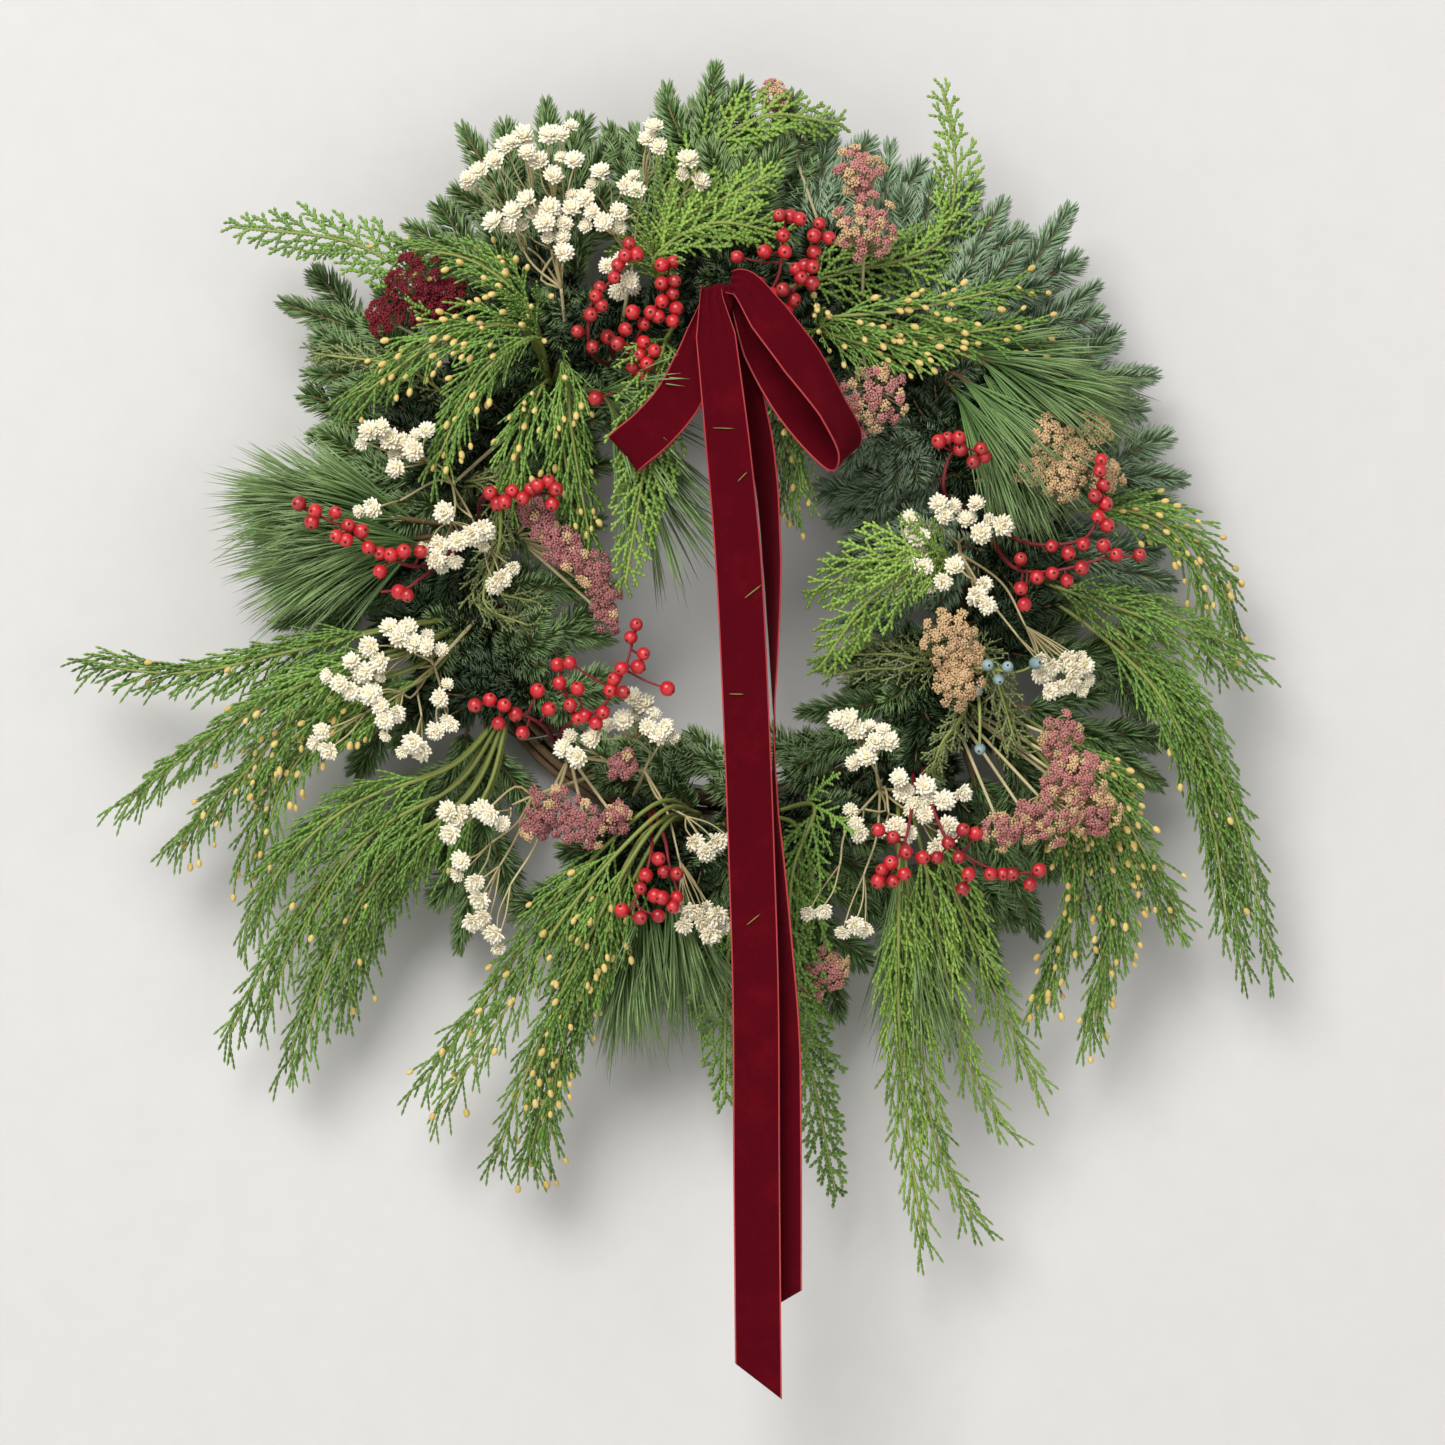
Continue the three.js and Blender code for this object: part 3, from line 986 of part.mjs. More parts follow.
const GREENS = [
  { name: 'pine_left', look: 'pine', colour: 'pine', at: [-136, 20], seed: 41, stems: [
    [[-168, 22, 60], [-222, 30, 64]], [[-166, 10, 62], [-214, 6, 68]]] },
  { name: 'pine_right', look: 'pine', colour: 'pine', at: [114, 84], seed: 42, stems: [
    [[122, 116, 66], [172, 98, 74]], [[124, 104, 64], [158, 70, 70]]] },
  { name: 'pine_hole', look: 'pine', colour: 'pine', at: [-96, 82], row: -1, seed: 43, stems: [
    [[-70, 92, 78], [-44, 42, 88]]] },
  { name: 'pine_low_left', look: 'pine', colour: 'pine', at: [-30, -138], row: 1, seed: 44, stems: [
    [[-48, -170, 50], [-58, -214, 48]], [[-34, -168, 50], [-24, -205, 50]]] },
  { name: 'pine_low_right', look: 'pine', colour: 'pine', at: [78, -116], row: 1, seed: 45, stems: [
    [[96, -160, 58], [106, -218, 60]]] },
  { name: 'cedar_top_left', look: 'cedar', colour: 'cedar', at: [-124, 76], row: 1, seed: 51, stems: [
    [[-150, 132, 70], [-200, 172, 72], [-274, 185, 62]]] },
  { name: 'cedar_cone_fan', look: 'strand', colour: 'cedar', at: [-98, 100], seed: 52, stems: [
    [[-114, 128, 84], [-154, 122, 90], [-202, 90, 84]], [[-108, 122, 86], [-136, 100, 94], [-160, 54, 88]],
    [[-102, 96, 76], [-112, 72, 90], [-120, 40, 88]], [[-112, 142, 84], [-140, 164, 84], [-176, 172, 76]],
    [[-88, 106, 92], [-86, 74, 94], [-76, 12, 88]]] },
  { name: 'cedar_top', look: 'cedar', colour: 'lime', at: [-26, 138], row: 1, seed: 53, stems: [
    [[-40, 166, 88], [-10, 184, 92], [34, 178, 88]], [[-40, 176, 84], [-6, 196, 86], [26, 214, 80]],
    [[-30, 180, 66], [-14, 222, 60], [20, 246, 62], [62, 242, 58]],
    [[60, 158, 64], [116, 176, 62], [126, 216, 58], [119, 263, 52]],
    [[-36, 112, 100], [-46, 48, 111], [-56, -14, 106]]] },
  { name: 'cedar_bow_right', look: 'cedar', colour: 'cedar', at: [72, 122], row: -1, seed: 55, stems: [
    [[52, 132, 84], [96, 136, 96], [156, 150, 84]], [[50, 126, 84], [84, 116, 92], [128, 122, 86]],
    [[44, 100, 84], [36, 74, 88], [40, 38, 86]]] },
  { name: 'cedar_left', look: 'strand', colour: 'cedar', at: [-140, -30], seed: 57, stems: [
    [[-176, -36, 70], [-240, -50, 72], [-300, -62, 62], [-352, -58, 50]],
    [[-176, -50, 80], [-232, -68, 84], [-284, -98, 72], [-334, -134, 54]],
    [[-170, -58, 74], [-228, -78, 78], [-262, -112, 66], [-304, -156, 50]],
    [[-166, -64, 72], [-214, -88, 74], [-244, -120, 62], [-258, -160, 50]]] },
  { name: 'cedar_low_left', look: 'strand', colour: 'cedar', at: [-120, -76], row: 1, seed: 58, stems: [
    [[-150, -112, 62], [-206, -134, 64], [-246, -168, 56], [-263, -204, 46]],
    [[-148, -122, 62], [-198, -152, 62], [-236, -204, 50], [-258, -250, 40]],
    [[-142, -128, 60], [-186, -164, 60], [-220, -220, 46], [-238, -276, 36]],
    [[-136, -132, 58], [-170, -160, 56], [-198, -196, 48], [-218, -246, 38]]] },
  { name: 'cedar_bottom_left', look: 'strand', colour: 'cedar', at: [-16, -140], row: -1, seed: 59, stems: [
    [[-36, -138, 84], [-84, -188, 84], [-124, -250, 66], [-160, -304, 48]],
    [[-40, -146, 86], [-76, -206, 84], [-106, -270, 64], [-128, -330, 46]],
    [[-44, -150, 84], [-72, -214, 80], [-92, -268, 62], [-100, -326, 44]]] },
  { name: 'cedar_bottom', look: 'cedar', colour: 'cedar', at: [22, -140], row: 1, seed: 60, stems: [
    [[40, -150, 70], [34, -210, 72], [40, -284, 58]],
    [[30, -160, 50], [38, -240, 48], [50, -300, 42], [60, -352, 38]],
    [[8, -164, 56], [0, -220, 54], [-2, -300, 40]], [[48, -136, 76], [36, -170, 78], [34, -222, 72]]] },
  { name: 'cedar_bottom_right', look: 'strand', colour: 'lime', at: [94, -104], seed: 61, stems: [
    [[94, -164, 86], [94, -250, 78], [98, -300, 60], [108, -376, 44]],
    [[98, -170, 84], [104, -250, 74], [118, -330, 54], [138, -366, 44]],
    [[108, -166, 82], [122, -236, 70], [136, -284, 54], [151, -312, 44]],
    [[116, -160, 80], [138, -214, 66], [156, -256, 50], [171, -286, 42]]] },
  { name: 'cedar_low_right', look: 'strand', colour: 'cedar', at: [126, -62], row: 1, seed: 62, stems: [
    [[182, -120, 62], [196, -170, 68], [178, -236, 52]], [[190, -120, 62], [214, -176, 66], [204, -256, 50]],
    [[198, -112, 62], [232, -164, 64], [250, -196, 52]]] },
  { name: 'cedar_right', look: 'strand', colour: 'cedar', at: [144, 0], row: 1, seed: 63, stems: [
    [[196, -34, 68], [236, -72, 74], [264, -130, 62], [278, -204, 46]],
    [[200, -28, 66], [246, -70, 72], [278, -132, 58], [303, -222, 42]],
    [[196, -20, 72], [234, -34, 80], [280, -60, 66]],
    [[190, 28, 58], [238, 22, 62], [262, -8, 56], [270, -46, 46]]] },
  { name: 'cedar_hole_right', look: 'cedar', colour: 'lime', at: [140, -6], row: -1, seed: 64, stems: [
    [[108, 4, 94], [80, 0, 100], [46, -20, 92]], [[110, -2, 94], [78, -22, 98], [50, -60, 86]]] },
  { name: 'juniper_left', look: 'juniper', colour: 'juniper', at: [-128, 56], row: 0, seed: 65, stems: [
    [[-150, 86, 66], [-178, 106, 70], [-222, 114, 58]], [[-146, 44, 62], [-128, 46, 74]],
    [[-126, 10, 66], [-134, -24, 78], [-110, -36, 78]]] },
  { name: 'juniper_right', look: 'juniper', colour: 'juniper', at: [130, -52], row: -1, seed: 66, stems: [
    [[140, -50, 76], [146, -62, 84], [158, -100, 80]], [[112, -56, 72], [90, -52, 80], [68, -52, 74]],
    [[130, -84, 74], [118, -100, 80], [112, -116, 76]]] },
  { name: 'fir_top_left', look: 'fir', colour: 'fir', at: [-84, 112], row: 1, seed: 71, stems: [
    [[-112, 178, 46], [-147, 240, 42]], [[-96, 188, 44], [-101, 254, 38]], [[-84, 176, 52], [-86, 244, 50]],
    [[-120, 150, 48], [-176, 186, 44]]] },
  { name: 'fir_top', look: 'fir', colour: 'fir', at: [0, 140], row: 1, seed: 72, stems: [
    [[-46, 190, 46], [-66, 240, 46]], [[-30, 200, 44], [-34, 262, 42]], [[-14, 210, 50], [-7, 273, 54]],
    [[16, 196, 44], [36, 258, 40]], [[4, 180, 54], [10, 226, 58]]] },
  { name: 'fir_top_right', look: 'fir', colour: 'fir', at: [84, 112], row: 1, seed: 73, stems: [
    [[52, 178, 44], [56, 246, 40]], [[84, 170, 46], [90, 230, 42]], [[104, 160, 48], [114, 212, 50]],
    [[118, 146, 50], [152, 198, 46]], [[122, 130, 56], [162, 172, 60]]] },
  { name: 'fir_right', look: 'fir', colour: 'fir', at: [136, 50], row: 1, seed: 74, stems: [
    [[150, 128, 42], [190, 196, 40]], [[158, 114, 44], [203, 152, 44]], [[176, 92, 42], [236, 104, 38]],
    [[182, 50, 42], [252, 46, 36]], [[180, 10, 42], [246, -12, 36]],
    [[92, 40, 44], [59, 24, 46]]] },
  { name: 'fir_right_low', look: 'fir', colour: 'fir', at: [122, -76], row: 1, seed: 75, stems: [
    [[184, -50, 42], [252, -74, 34]], [[176, -84, 40], [240, -124, 34]], [[142, -136, 38], [172, -206, 34]],
    [[124, -150, 40], [150, -236, 34]], [[160, -112, 42], [196, -172, 36]]] },
  { name: 'fir_bottom', look: 'fir', colour: 'fir', at: [0, -142], row: 1, seed: 76, stems: [
    [[44, -186, 38], [62, -252, 34]], [[84, -178, 36], [112, -236, 32]], [[14, -190, 36], [26, -244, 32]],
    [[-24, -184, 36], [-42, -232, 32]], [[-70, -172, 38], [-104, -212, 34]]] },
  { name: 'fir_left', look: 'fir', colour: 'fir', at: [-138, -44], row: 1, seed: 77, stems: [
    [[-184, -14, 42], [-250, -34, 36]], [[-186, 20, 42], [-262, 16, 36]], [[-170, -66, 42], [-226, -104, 36]],
    [[-150, -112, 38], [-192, -188, 34]], [[-134, -128, 38], [-150, -214, 32]]] },
  { name: 'fir_left_upper', look: 'fir', colour: 'fir', at: [-130, 64], row: 1, seed: 78, stems: [
    [[-180, 116, 42], [-246, 144, 38]], [[-178, 76, 42], [-230, 70, 36]], [[-176, 100, 50], [-232, 104, 46]],
    [[-168, 44, 44], [-226, 48, 44]]] },
];

boundStems();
ringFrame();
hangingLoop();
bindingWire();
bow();
HEADS.forEach(flowerHeads);
FLOWERS.forEach(flowerSpray);
BERRIES.forEach(berries);
GREENS.forEach(greens);

const wreath = new THREE.Group();
wreath.name = 'fresh_evergreen_wreath';
wreath.add(...pieces);
wreath.position.z = -HOOK_HEIGHT;

export default wreath;
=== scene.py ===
"""A fresh evergreen wreath with a velvet bow, hung on a pale wall.

Places are millimetres from the ring's centre, [x, z, depth]: x to the right, z up and depth
towards the viewer, as in the part's own layout. Meshes are turned into metres in the row
frame, whose origin is where the hanging loop bears on its nail.
"""

import math

import bpy
import numpy as np
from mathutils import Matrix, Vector


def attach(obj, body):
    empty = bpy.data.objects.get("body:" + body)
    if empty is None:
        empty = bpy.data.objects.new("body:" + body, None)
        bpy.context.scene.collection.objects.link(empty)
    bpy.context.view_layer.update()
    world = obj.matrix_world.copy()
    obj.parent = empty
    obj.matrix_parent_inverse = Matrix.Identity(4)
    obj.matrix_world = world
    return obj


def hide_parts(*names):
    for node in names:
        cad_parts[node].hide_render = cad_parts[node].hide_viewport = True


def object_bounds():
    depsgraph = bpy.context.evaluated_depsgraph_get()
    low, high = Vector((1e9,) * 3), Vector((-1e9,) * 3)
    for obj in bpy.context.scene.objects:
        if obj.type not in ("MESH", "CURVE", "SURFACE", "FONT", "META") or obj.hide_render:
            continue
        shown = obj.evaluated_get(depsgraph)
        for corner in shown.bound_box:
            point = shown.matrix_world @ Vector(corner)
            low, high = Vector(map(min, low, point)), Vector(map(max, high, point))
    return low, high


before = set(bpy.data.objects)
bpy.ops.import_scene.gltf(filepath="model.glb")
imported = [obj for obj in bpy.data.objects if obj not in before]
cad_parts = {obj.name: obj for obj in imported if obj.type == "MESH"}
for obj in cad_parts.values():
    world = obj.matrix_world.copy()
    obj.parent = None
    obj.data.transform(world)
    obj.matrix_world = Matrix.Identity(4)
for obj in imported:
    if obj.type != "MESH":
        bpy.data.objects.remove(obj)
cad_box = [list(corner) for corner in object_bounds()]

# ---- driving dimensions ----------------------------------------------------------------------

MM = 0.001
HOOK_HEIGHT = 181.0               # the nail above the ring's centre
RING_RADIUS = 140.0
RAIL_OFFSET = 12.5
RAIL_WIRE = 2.0
BAR_COUNT = 5
LOOP_RADIUS = 13.0
LOOP_WIRE = 1.3
LOOP_HEIGHT = 169.3
COLLAR_RADIUS = 4.3
STEMS_DEPTH = (3.4, 25.0)         # the bound stems' range of depth
STEMS_HALF_WIDTH = 16.0
BINDING_WIRE = 0.7
BINDING_TURNS = 8
HUB_DEPTH = 29.0                  # where a bunch leaves the bound stems
RIBBON_WIDTH = 25.4               # 1 in velvet ribbon
RIBBON_THICK = 0.9
SELVEDGE = 0.75
BERRY_RADIUS = 4.1
BLUE_BERRY_RADIUS = 3.5
FLOWER_RADIUS = 8.2
TAIL_CUT = {"front": -10.0, "back": 7.5}
PHOTO_CENTRE = (-3.0, -89.4)      # what the camera aims at, and the width it sees there
PHOTO_WIDTH = 794.75
PHOTO_DEPTH = 80.0
LENS = 150.0
SENSOR = 36.0
FRONT = np.array([0.0, -1.0, 0.0])
DOWN = np.array([0.0, 0.0, -1.0])


# ---- lines -----------------------------------------------------------------------------------

def spot(place):
    """A layout place [x, z, depth] as x, y, z in millimetres."""
    return np.array([place[0], -place[2], place[1]], float)


def unit(vectors):
    vectors = np.asarray(vectors, float)
    return vectors / np.maximum(np.linalg.norm(vectors, axis=-1, keepdims=True), 1e-9)


def resample(points, step):
    """Evenly spaced points along a line of straight stretches."""
    gaps = np.linalg.norm(np.diff(points, axis=0), axis=1)
    along = np.concatenate([[0.0], np.cumsum(gaps)])
    at = np.linspace(0.0, along[-1], max(2, int(round(along[-1] / step)) + 1))
    return np.stack([np.interp(at, along, points[:, k]) for k in range(3)], axis=1)


def smooth_line(spots, step):
    """Points every step along a smooth curve through the spots (centripetal Catmull-Rom)."""
    spots = [np.asarray(s, float) for s in spots]
    ends = [2 * spots[0] - spots[1], *spots, 2 * spots[-1] - spots[-2]]
    line = []
    for four in zip(ends, ends[1:], ends[2:], ends[3:]):
        gaps = [max(float(np.linalg.norm(b - a)), 1e-6) ** 0.5 for a, b in zip(four, four[1:])]
        t0, t1, t2, t3 = np.cumsum([0.0, *gaps])
        p0, p1, p2, p3 = four
        t = np.linspace(t1, t2, 16, endpoint=False)[:, None]
        a = (t1 - t) / (t1 - t0) * p0 + (t - t0) / (t1 - t0) * p1
        b = (t2 - t) / (t2 - t1) * p1 + (t - t1) / (t2 - t1) * p2
        c = (t3 - t) / (t3 - t2) * p2 + (t - t2) / (t3 - t2) * p3
        d = (t2 - t) / (t2 - t0) * a + (t - t0) / (t2 - t0) * b
        e = (t3 - t) / (t3 - t1) * b + (t - t1) / (t3 - t1) * c
        line.append((t2 - t) / (t2 - t1) * d + (t - t1) / (t2 - t1) * e)
    return resample(np.vstack([*line, spots[-1][None]]), step)


def ways(line):
    """The unit direction of a line at each of its points."""
    return unit(np.gradient(line, axis=0))


def square_to(vectors, tangents):
    """The vectors with what lies along the tangents taken out."""
    vectors = np.broadcast_to(vectors, tangents.shape)
    return unit(vectors - np.sum(vectors * tangents, axis=1, keepdims=True) * tangents)


# ---- meshes: many copies of small shapes in one piece ------------------------------------------

def spindle(rings, sides, flat=1.0):
    """A shape along +Z from rings of (height, radius). The last ring may be a point."""
    points, along, quads, tris = [], [], [], []
    for height, radius in rings:
        count = sides if radius > 0 else 1
        for j in range(count):
            angle = 2 * math.pi * (j + 0.25) / sides
            points.append([radius * math.cos(angle), flat * radius * math.sin(angle), height])
            along.append(height)
    for k in range(len(rings) - 1):
        for j in range(sides):
            a, b = k * sides + j, k * sides + (j + 1) % sides
            if rings[k + 1][1] > 0:
                quads.append([a, b, b + sides, a + sides])
            else:
                tris.append([a, b, (k + 1) * sides])
    return {"points": np.array(points), "along": np.array(along),
            "faces": [np.array(f, int) for f in (quads, tris) if f]}


SHAPES = {
    "needle": spindle([(0, 0.55), (0.6, 1.0), (1, 0)], 3, 0.55),
    "long_needle": spindle([(0, 0.6), (0.25, 1), (0.5, 1), (0.75, 0.9), (1, 0)], 3),
    "scale": spindle([(0, 0.7), (0.62, 1.0), (1.18, 0)], 4, 0.45),
    "cone": spindle([(0, 0.4), (0.25, 0.92), (0.6, 1.0), (0.88, 0.62), (1, 0)], 6),
    "petal": spindle([(0, 0.3), (0.45, 1.0), (0.8, 0.7), (1, 0)], 4, 0.22),
    "floret": spindle([(0, 0.3), (0.6, 1.0), (1, 0.5), (0.8, 0)], 4),
    "berry": spindle([(-1, 0.0001), (-0.94, 0.34), (-0.72, 0.7), (-0.36, 0.93), (0, 1), (0.36, 0.93),
                      (0.72, 0.69), (0.9, 0.43), (0.96, 0.22), (0.88, 0)], 14),
    "calyx": spindle([(0.86, 0.26), (1.02, 0.2), (1.0, 0.08), (0.9, 0)], 6),
    "disc": spindle([(0, 0.75), (0.3, 1.0), (0.75, 0.72), (1, 0)], 9),
}


class Heap:
    """Points and faces gathered for one piece, with a mark (tint, along) on every point."""

    def __init__(self):
        self.points, self.corners, self.sizes, self.marks, self.slots = [], [], [], [], []
        self.count = 0

    def add(self, points, faces, marks, finish):
        """Points and groups of faces on them, in one finish or in one for each group."""
        for group, slot in zip(faces, np.resize(finish, len(faces))):
            self.corners.append((group + self.count).ravel())
            self.sizes.append(np.full(len(group), group.shape[1]))
            self.slots.append(np.full(len(group), slot))
        self.points.append(points)
        self.marks.append(marks)
        self.count += len(points)

    def scatter(self, shape, origins, z_ways, y_ways, sizes, tints, finish, bends=None):
        """Copies of a shape at the origins. sizes are (width, thickness, length) in mm."""
        form = SHAPES[shape]
        z_ways = unit(z_ways)
        y_ways = square_to(y_ways, z_ways)
        x_ways = np.cross(y_ways, z_ways)
        local = form["points"][None] * np.asarray(sizes, float)[:, None, :]
        placed = (origins[:, None] + local[..., :1] * x_ways[:, None]
                  + local[..., 1:2] * y_ways[:, None] + local[..., 2:] * z_ways[:, None])
        if bends is not None:
            placed += (form["along"][None] ** 2)[..., None] * np.asarray(bends)[:, None, :]
        number, each = len(origins), len(form["points"])
        shift = (np.arange(number) * each)[:, None, None]
        faces = [(group[None] + shift).reshape(-1, group.shape[1]) for group in form["faces"]]
        marks = np.stack([np.repeat(tints, each), np.tile(form["along"], number)], axis=1)
        self.add(placed.reshape(-1, 3), faces, marks, finish)

    def tube(self, line, radii, sides, tint, finish, closed=False):
        """A round stem along a line, its radius going from the first to the second of radii."""
        tangents = ways(line)
        if closed:
            tangents = unit(np.roll(line, -1, axis=0) - np.roll(line, 1, axis=0))
        steady = np.where(np.abs(tangents @ FRONT)[:, None] > 0.92, DOWN[None], FRONT[None])
        across = square_to(steady, tangents)
        other = np.cross(tangents, across)
        count = len(line)
        radius = np.linspace(radii[0], radii[1], count)[:, None, None]
        angle = 2 * np.pi * np.arange(sides) / sides
        ring = (np.cos(angle)[None, :, None] * across[:, None]
                + np.sin(angle)[None, :, None] * other[:, None])
        points = (line[:, None] + radius * ring).reshape(-1, 3)
        k = np.arange(count if closed else count - 1)[:, None]
        j = np.arange(sides)[None]
        a, b = k * sides + j, k * sides + (j + 1) % sides
        up = ((k + 1) % count - k) * sides
        quads = np.stack([a, b, b + up, a + up], axis=-1).reshape(-1, 4)
        faces = [quads]
        if not closed:
            caps = [np.arange(sides)[::-1], (count - 1) * sides + np.arange(sides)]
            faces.append(np.array(caps))
        along = np.repeat(np.linspace(0, 1, count), sides)
        self.add(points, faces, np.stack([np.full(len(points), tint), along], axis=1), finish)

    def piece(self, name, materials):
        """The heap as one object, in metres and in the row frame."""
        mesh = bpy.data.meshes.new(name)
        points = (np.vstack(self.points) - [0, 0, HOOK_HEIGHT]) * MM
        corners = np.concatenate(self.corners)
        sizes = np.concatenate(self.sizes)
        mesh.vertices.add(len(points))
        mesh.vertices.foreach_set("co", points.ravel())
        mesh.loops.add(len(corners))
        mesh.loops.foreach_set("vertex_index", corners)
        mesh.polygons.add(len(sizes))
        mesh.polygons.foreach_set("loop_start", np.cumsum(sizes) - sizes)
        for material in materials:
            mesh.materials.append(material)
        mesh.polygons.foreach_set("material_index", np.concatenate(self.slots))
        mesh.polygons.foreach_set("use_smooth", np.ones(len(sizes), bool))
        mesh.update(calc_edges=True)
        marks = np.vstack(self.marks)
        for column, label in enumerate(("tint", "along")):
            layer = mesh.attributes.new(label, "FLOAT", "POINT")
            layer.data.foreach_set("value", marks[:, column].astype(np.float32))
        made = bpy.data.objects.new(name, mesh)
        bpy.context.scene.collection.objects.link(made)
        return made


def dress(heap, node, materials):
    """The finished piece that stands for a CAD node."""
    piece = heap.piece(f"{node}_fine", materials)
    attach(piece, "root")
    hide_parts(node)
    return piece


# ---- shader groups and materials ---------------------------------------------------------------

def add_node(tree, kind, inputs=(), **settings):
    """A shader node: settings first, then linked or plain inputs."""
    made = tree.nodes.new(kind)
    for name, value in settings.items():
        setattr(made, name, value)
    for name, value in dict(inputs).items():
        if isinstance(value, bpy.types.NodeSocket):
            tree.links.new(value, made.inputs[name])
        else:
            made.inputs[name].default_value = value
    return made


def new_group(name, inputs, outputs):
    """An empty node group. inputs are (name, kind, value), outputs are (name, kind)."""
    tree = bpy.data.node_groups.new(name, "ShaderNodeTree")
    for label, kind, value in inputs:
        made = tree.interface.new_socket(label, in_out="INPUT", socket_type=f"NodeSocket{kind}")
        made.default_value = value
    for label, kind in outputs:
        tree.interface.new_socket(label, in_out="OUTPUT", socket_type=f"NodeSocket{kind}")
    return tree, tree.nodes.new("NodeGroupInput").outputs, tree.nodes.new("NodeGroupOutput").inputs


def rgba(code):
    """A colour code such as 4a7a3a as linear values."""
    parts = [int(code[i:i + 2], 16) / 255 for i in (0, 2, 4)]
    linear = [p / 12.92 if p <= 0.04045 else ((p + 0.055) / 1.055) ** 2.4 for p in parts]
    return (*linear, 1.0)


def blend_colours(tree, share, first, second):
    """The colour between two others at a share."""
    made = add_node(tree, "ShaderNodeMix", data_type="RGBA")
    for label, value in (("Factor", share), ("A", first), ("B", second)):
        socket = next(s for s in made.inputs if s.name == label and s.enabled)
        if isinstance(value, bpy.types.NodeSocket):
            tree.links.new(value, socket)
        else:
            socket.default_value = value
    return next(s for s in made.outputs if s.enabled)


def leaf_tone_group():
    """Colour of one leaf or needle: its own tone, paler to its tip, with patches over the spray."""
    tree, given, out = new_group("leaf_tone", [
        ("Deep", "Color", rgba("20351c")), ("Main", "Color", rgba("4a7a3a")),
        ("Tip", "Color", rgba("8fc34a")), ("Patch Scale", "Float", 18.0)], [("Color", "Color")])
    tint = add_node(tree, "ShaderNodeAttribute", attribute_name="tint").outputs["Fac"]
    along = add_node(tree, "ShaderNodeAttribute", attribute_name="along").outputs["Fac"]
    place = add_node(tree, "ShaderNodeTexCoord").outputs["Object"]
    patches = add_node(tree, "ShaderNodeTexNoise", {
        "Vector": place, "Scale": given["Patch Scale"], "Detail": 2.0}).outputs["Fac"]
    fine = add_node(tree, "ShaderNodeTexNoise", {
        "Vector": place, "Scale": 900.0, "Detail": 2.0}).outputs["Fac"]
    blend = add_node(tree, "ShaderNodeMath", {0: tint, 1: patches}, operation="ADD")
    share = add_node(tree, "ShaderNodeMapRange", {
        "Value": blend.outputs[0], "From Min": 0.45, "From Max": 1.35}).outputs["Result"]
    body = blend_colours(tree, share, given["Deep"], given["Main"])
    tipped = add_node(tree, "ShaderNodeMath", {0: along, 1: 2.2}, operation="POWER")
    reach = add_node(tree, "ShaderNodeMath", {0: tipped.outputs[0], 1: fine}, operation="MULTIPLY")
    tree.links.new(blend_colours(tree, reach.outputs[0], body, given["Tip"]), out["Color"])
    return tree


def grain_group():
    """Small bumps and a roughness that follows them."""
    tree, given, out = new_group("fine_grain", [
        ("Scale", "Float", 400.0), ("Low", "Float", 0.4), ("High", "Float", 0.7)], [
        ("Height", "Float"), ("Roughness", "Float")])
    place = add_node(tree, "ShaderNodeTexCoord").outputs["Object"]
    grain = add_node(tree, "ShaderNodeTexNoise", {
        "Vector": place, "Scale": given["Scale"], "Detail": 4.0, "Roughness": 0.6}).outputs["Fac"]
    rough = add_node(tree, "ShaderNodeMapRange", {
        "Value": grain, "From Min": 0.3, "From Max": 0.7, "To Min": given["Low"],
        "To Max": given["High"]}).outputs["Result"]
    tree.links.new(grain, out["Height"])
    tree.links.new(rough, out["Roughness"])
    return tree


def velvet_group():
    """Pile of a velvet ribbon: brushed patches, single fibres and a slight mottle."""
    tree, given, out = new_group("velvet_pile", [
        ("Shade", "Color", rgba("30000a")), ("Pile", "Color", rgba("620010")),
        ("Brushed", "Color", rgba("740818"))], [("Color", "Color"), ("Height", "Float")])
    place = add_node(tree, "ShaderNodeTexCoord").outputs["Object"]
    fibres = add_node(tree, "ShaderNodeTexNoise", {
        "Vector": place, "Scale": 1500.0, "Detail": 3.0, "Roughness": 0.7}).outputs["Fac"]
    patches = add_node(tree, "ShaderNodeTexNoise", {
        "Vector": place, "Scale": 38.0, "Detail": 5.0, "Roughness": 0.65}).outputs["Fac"]
    body = blend_colours(tree, fibres, given["Shade"], given["Pile"])
    share = add_node(tree, "ShaderNodeMapRange", {
        "Value": patches, "From Min": 0.5, "From Max": 0.78, "To Max": 0.45}).outputs["Result"]
    tree.links.new(blend_colours(tree, share, body, given["Brushed"]), out["Color"])
    tree.links.new(fibres, out["Height"])
    return tree


GROUPS = {"leaf_tone": leaf_tone_group(), "fine_grain": grain_group(), "velvet_pile": velvet_group()}


def use_group(tree, name, inputs=()):
    made = tree.nodes.new("ShaderNodeGroup")
    made.node_tree = GROUPS[name]
    for label, value in dict(inputs).items():
        made.inputs[label].default_value = value
    return made.outputs


def new_material(name, constants=()):
    """A material and its Principled BSDF, with plain values set on the shader's own sockets."""
    material = bpy.data.materials.new(name)
    material.use_nodes = True
    shader = material.node_tree.nodes["Principled BSDF"]
    for label, value in dict(constants).items():
        shader.inputs[label].default_value = value
    return material, material.node_tree, shader


def bumped(tree, shader, height, strength, distance):
    """Small relief on a shader's surface."""
    bump = add_node(tree, "ShaderNodeBump", {
        "Height": height, "Strength": strength, "Distance": distance})
    tree.links.new(bump.outputs["Normal"], shader.inputs["Normal"])


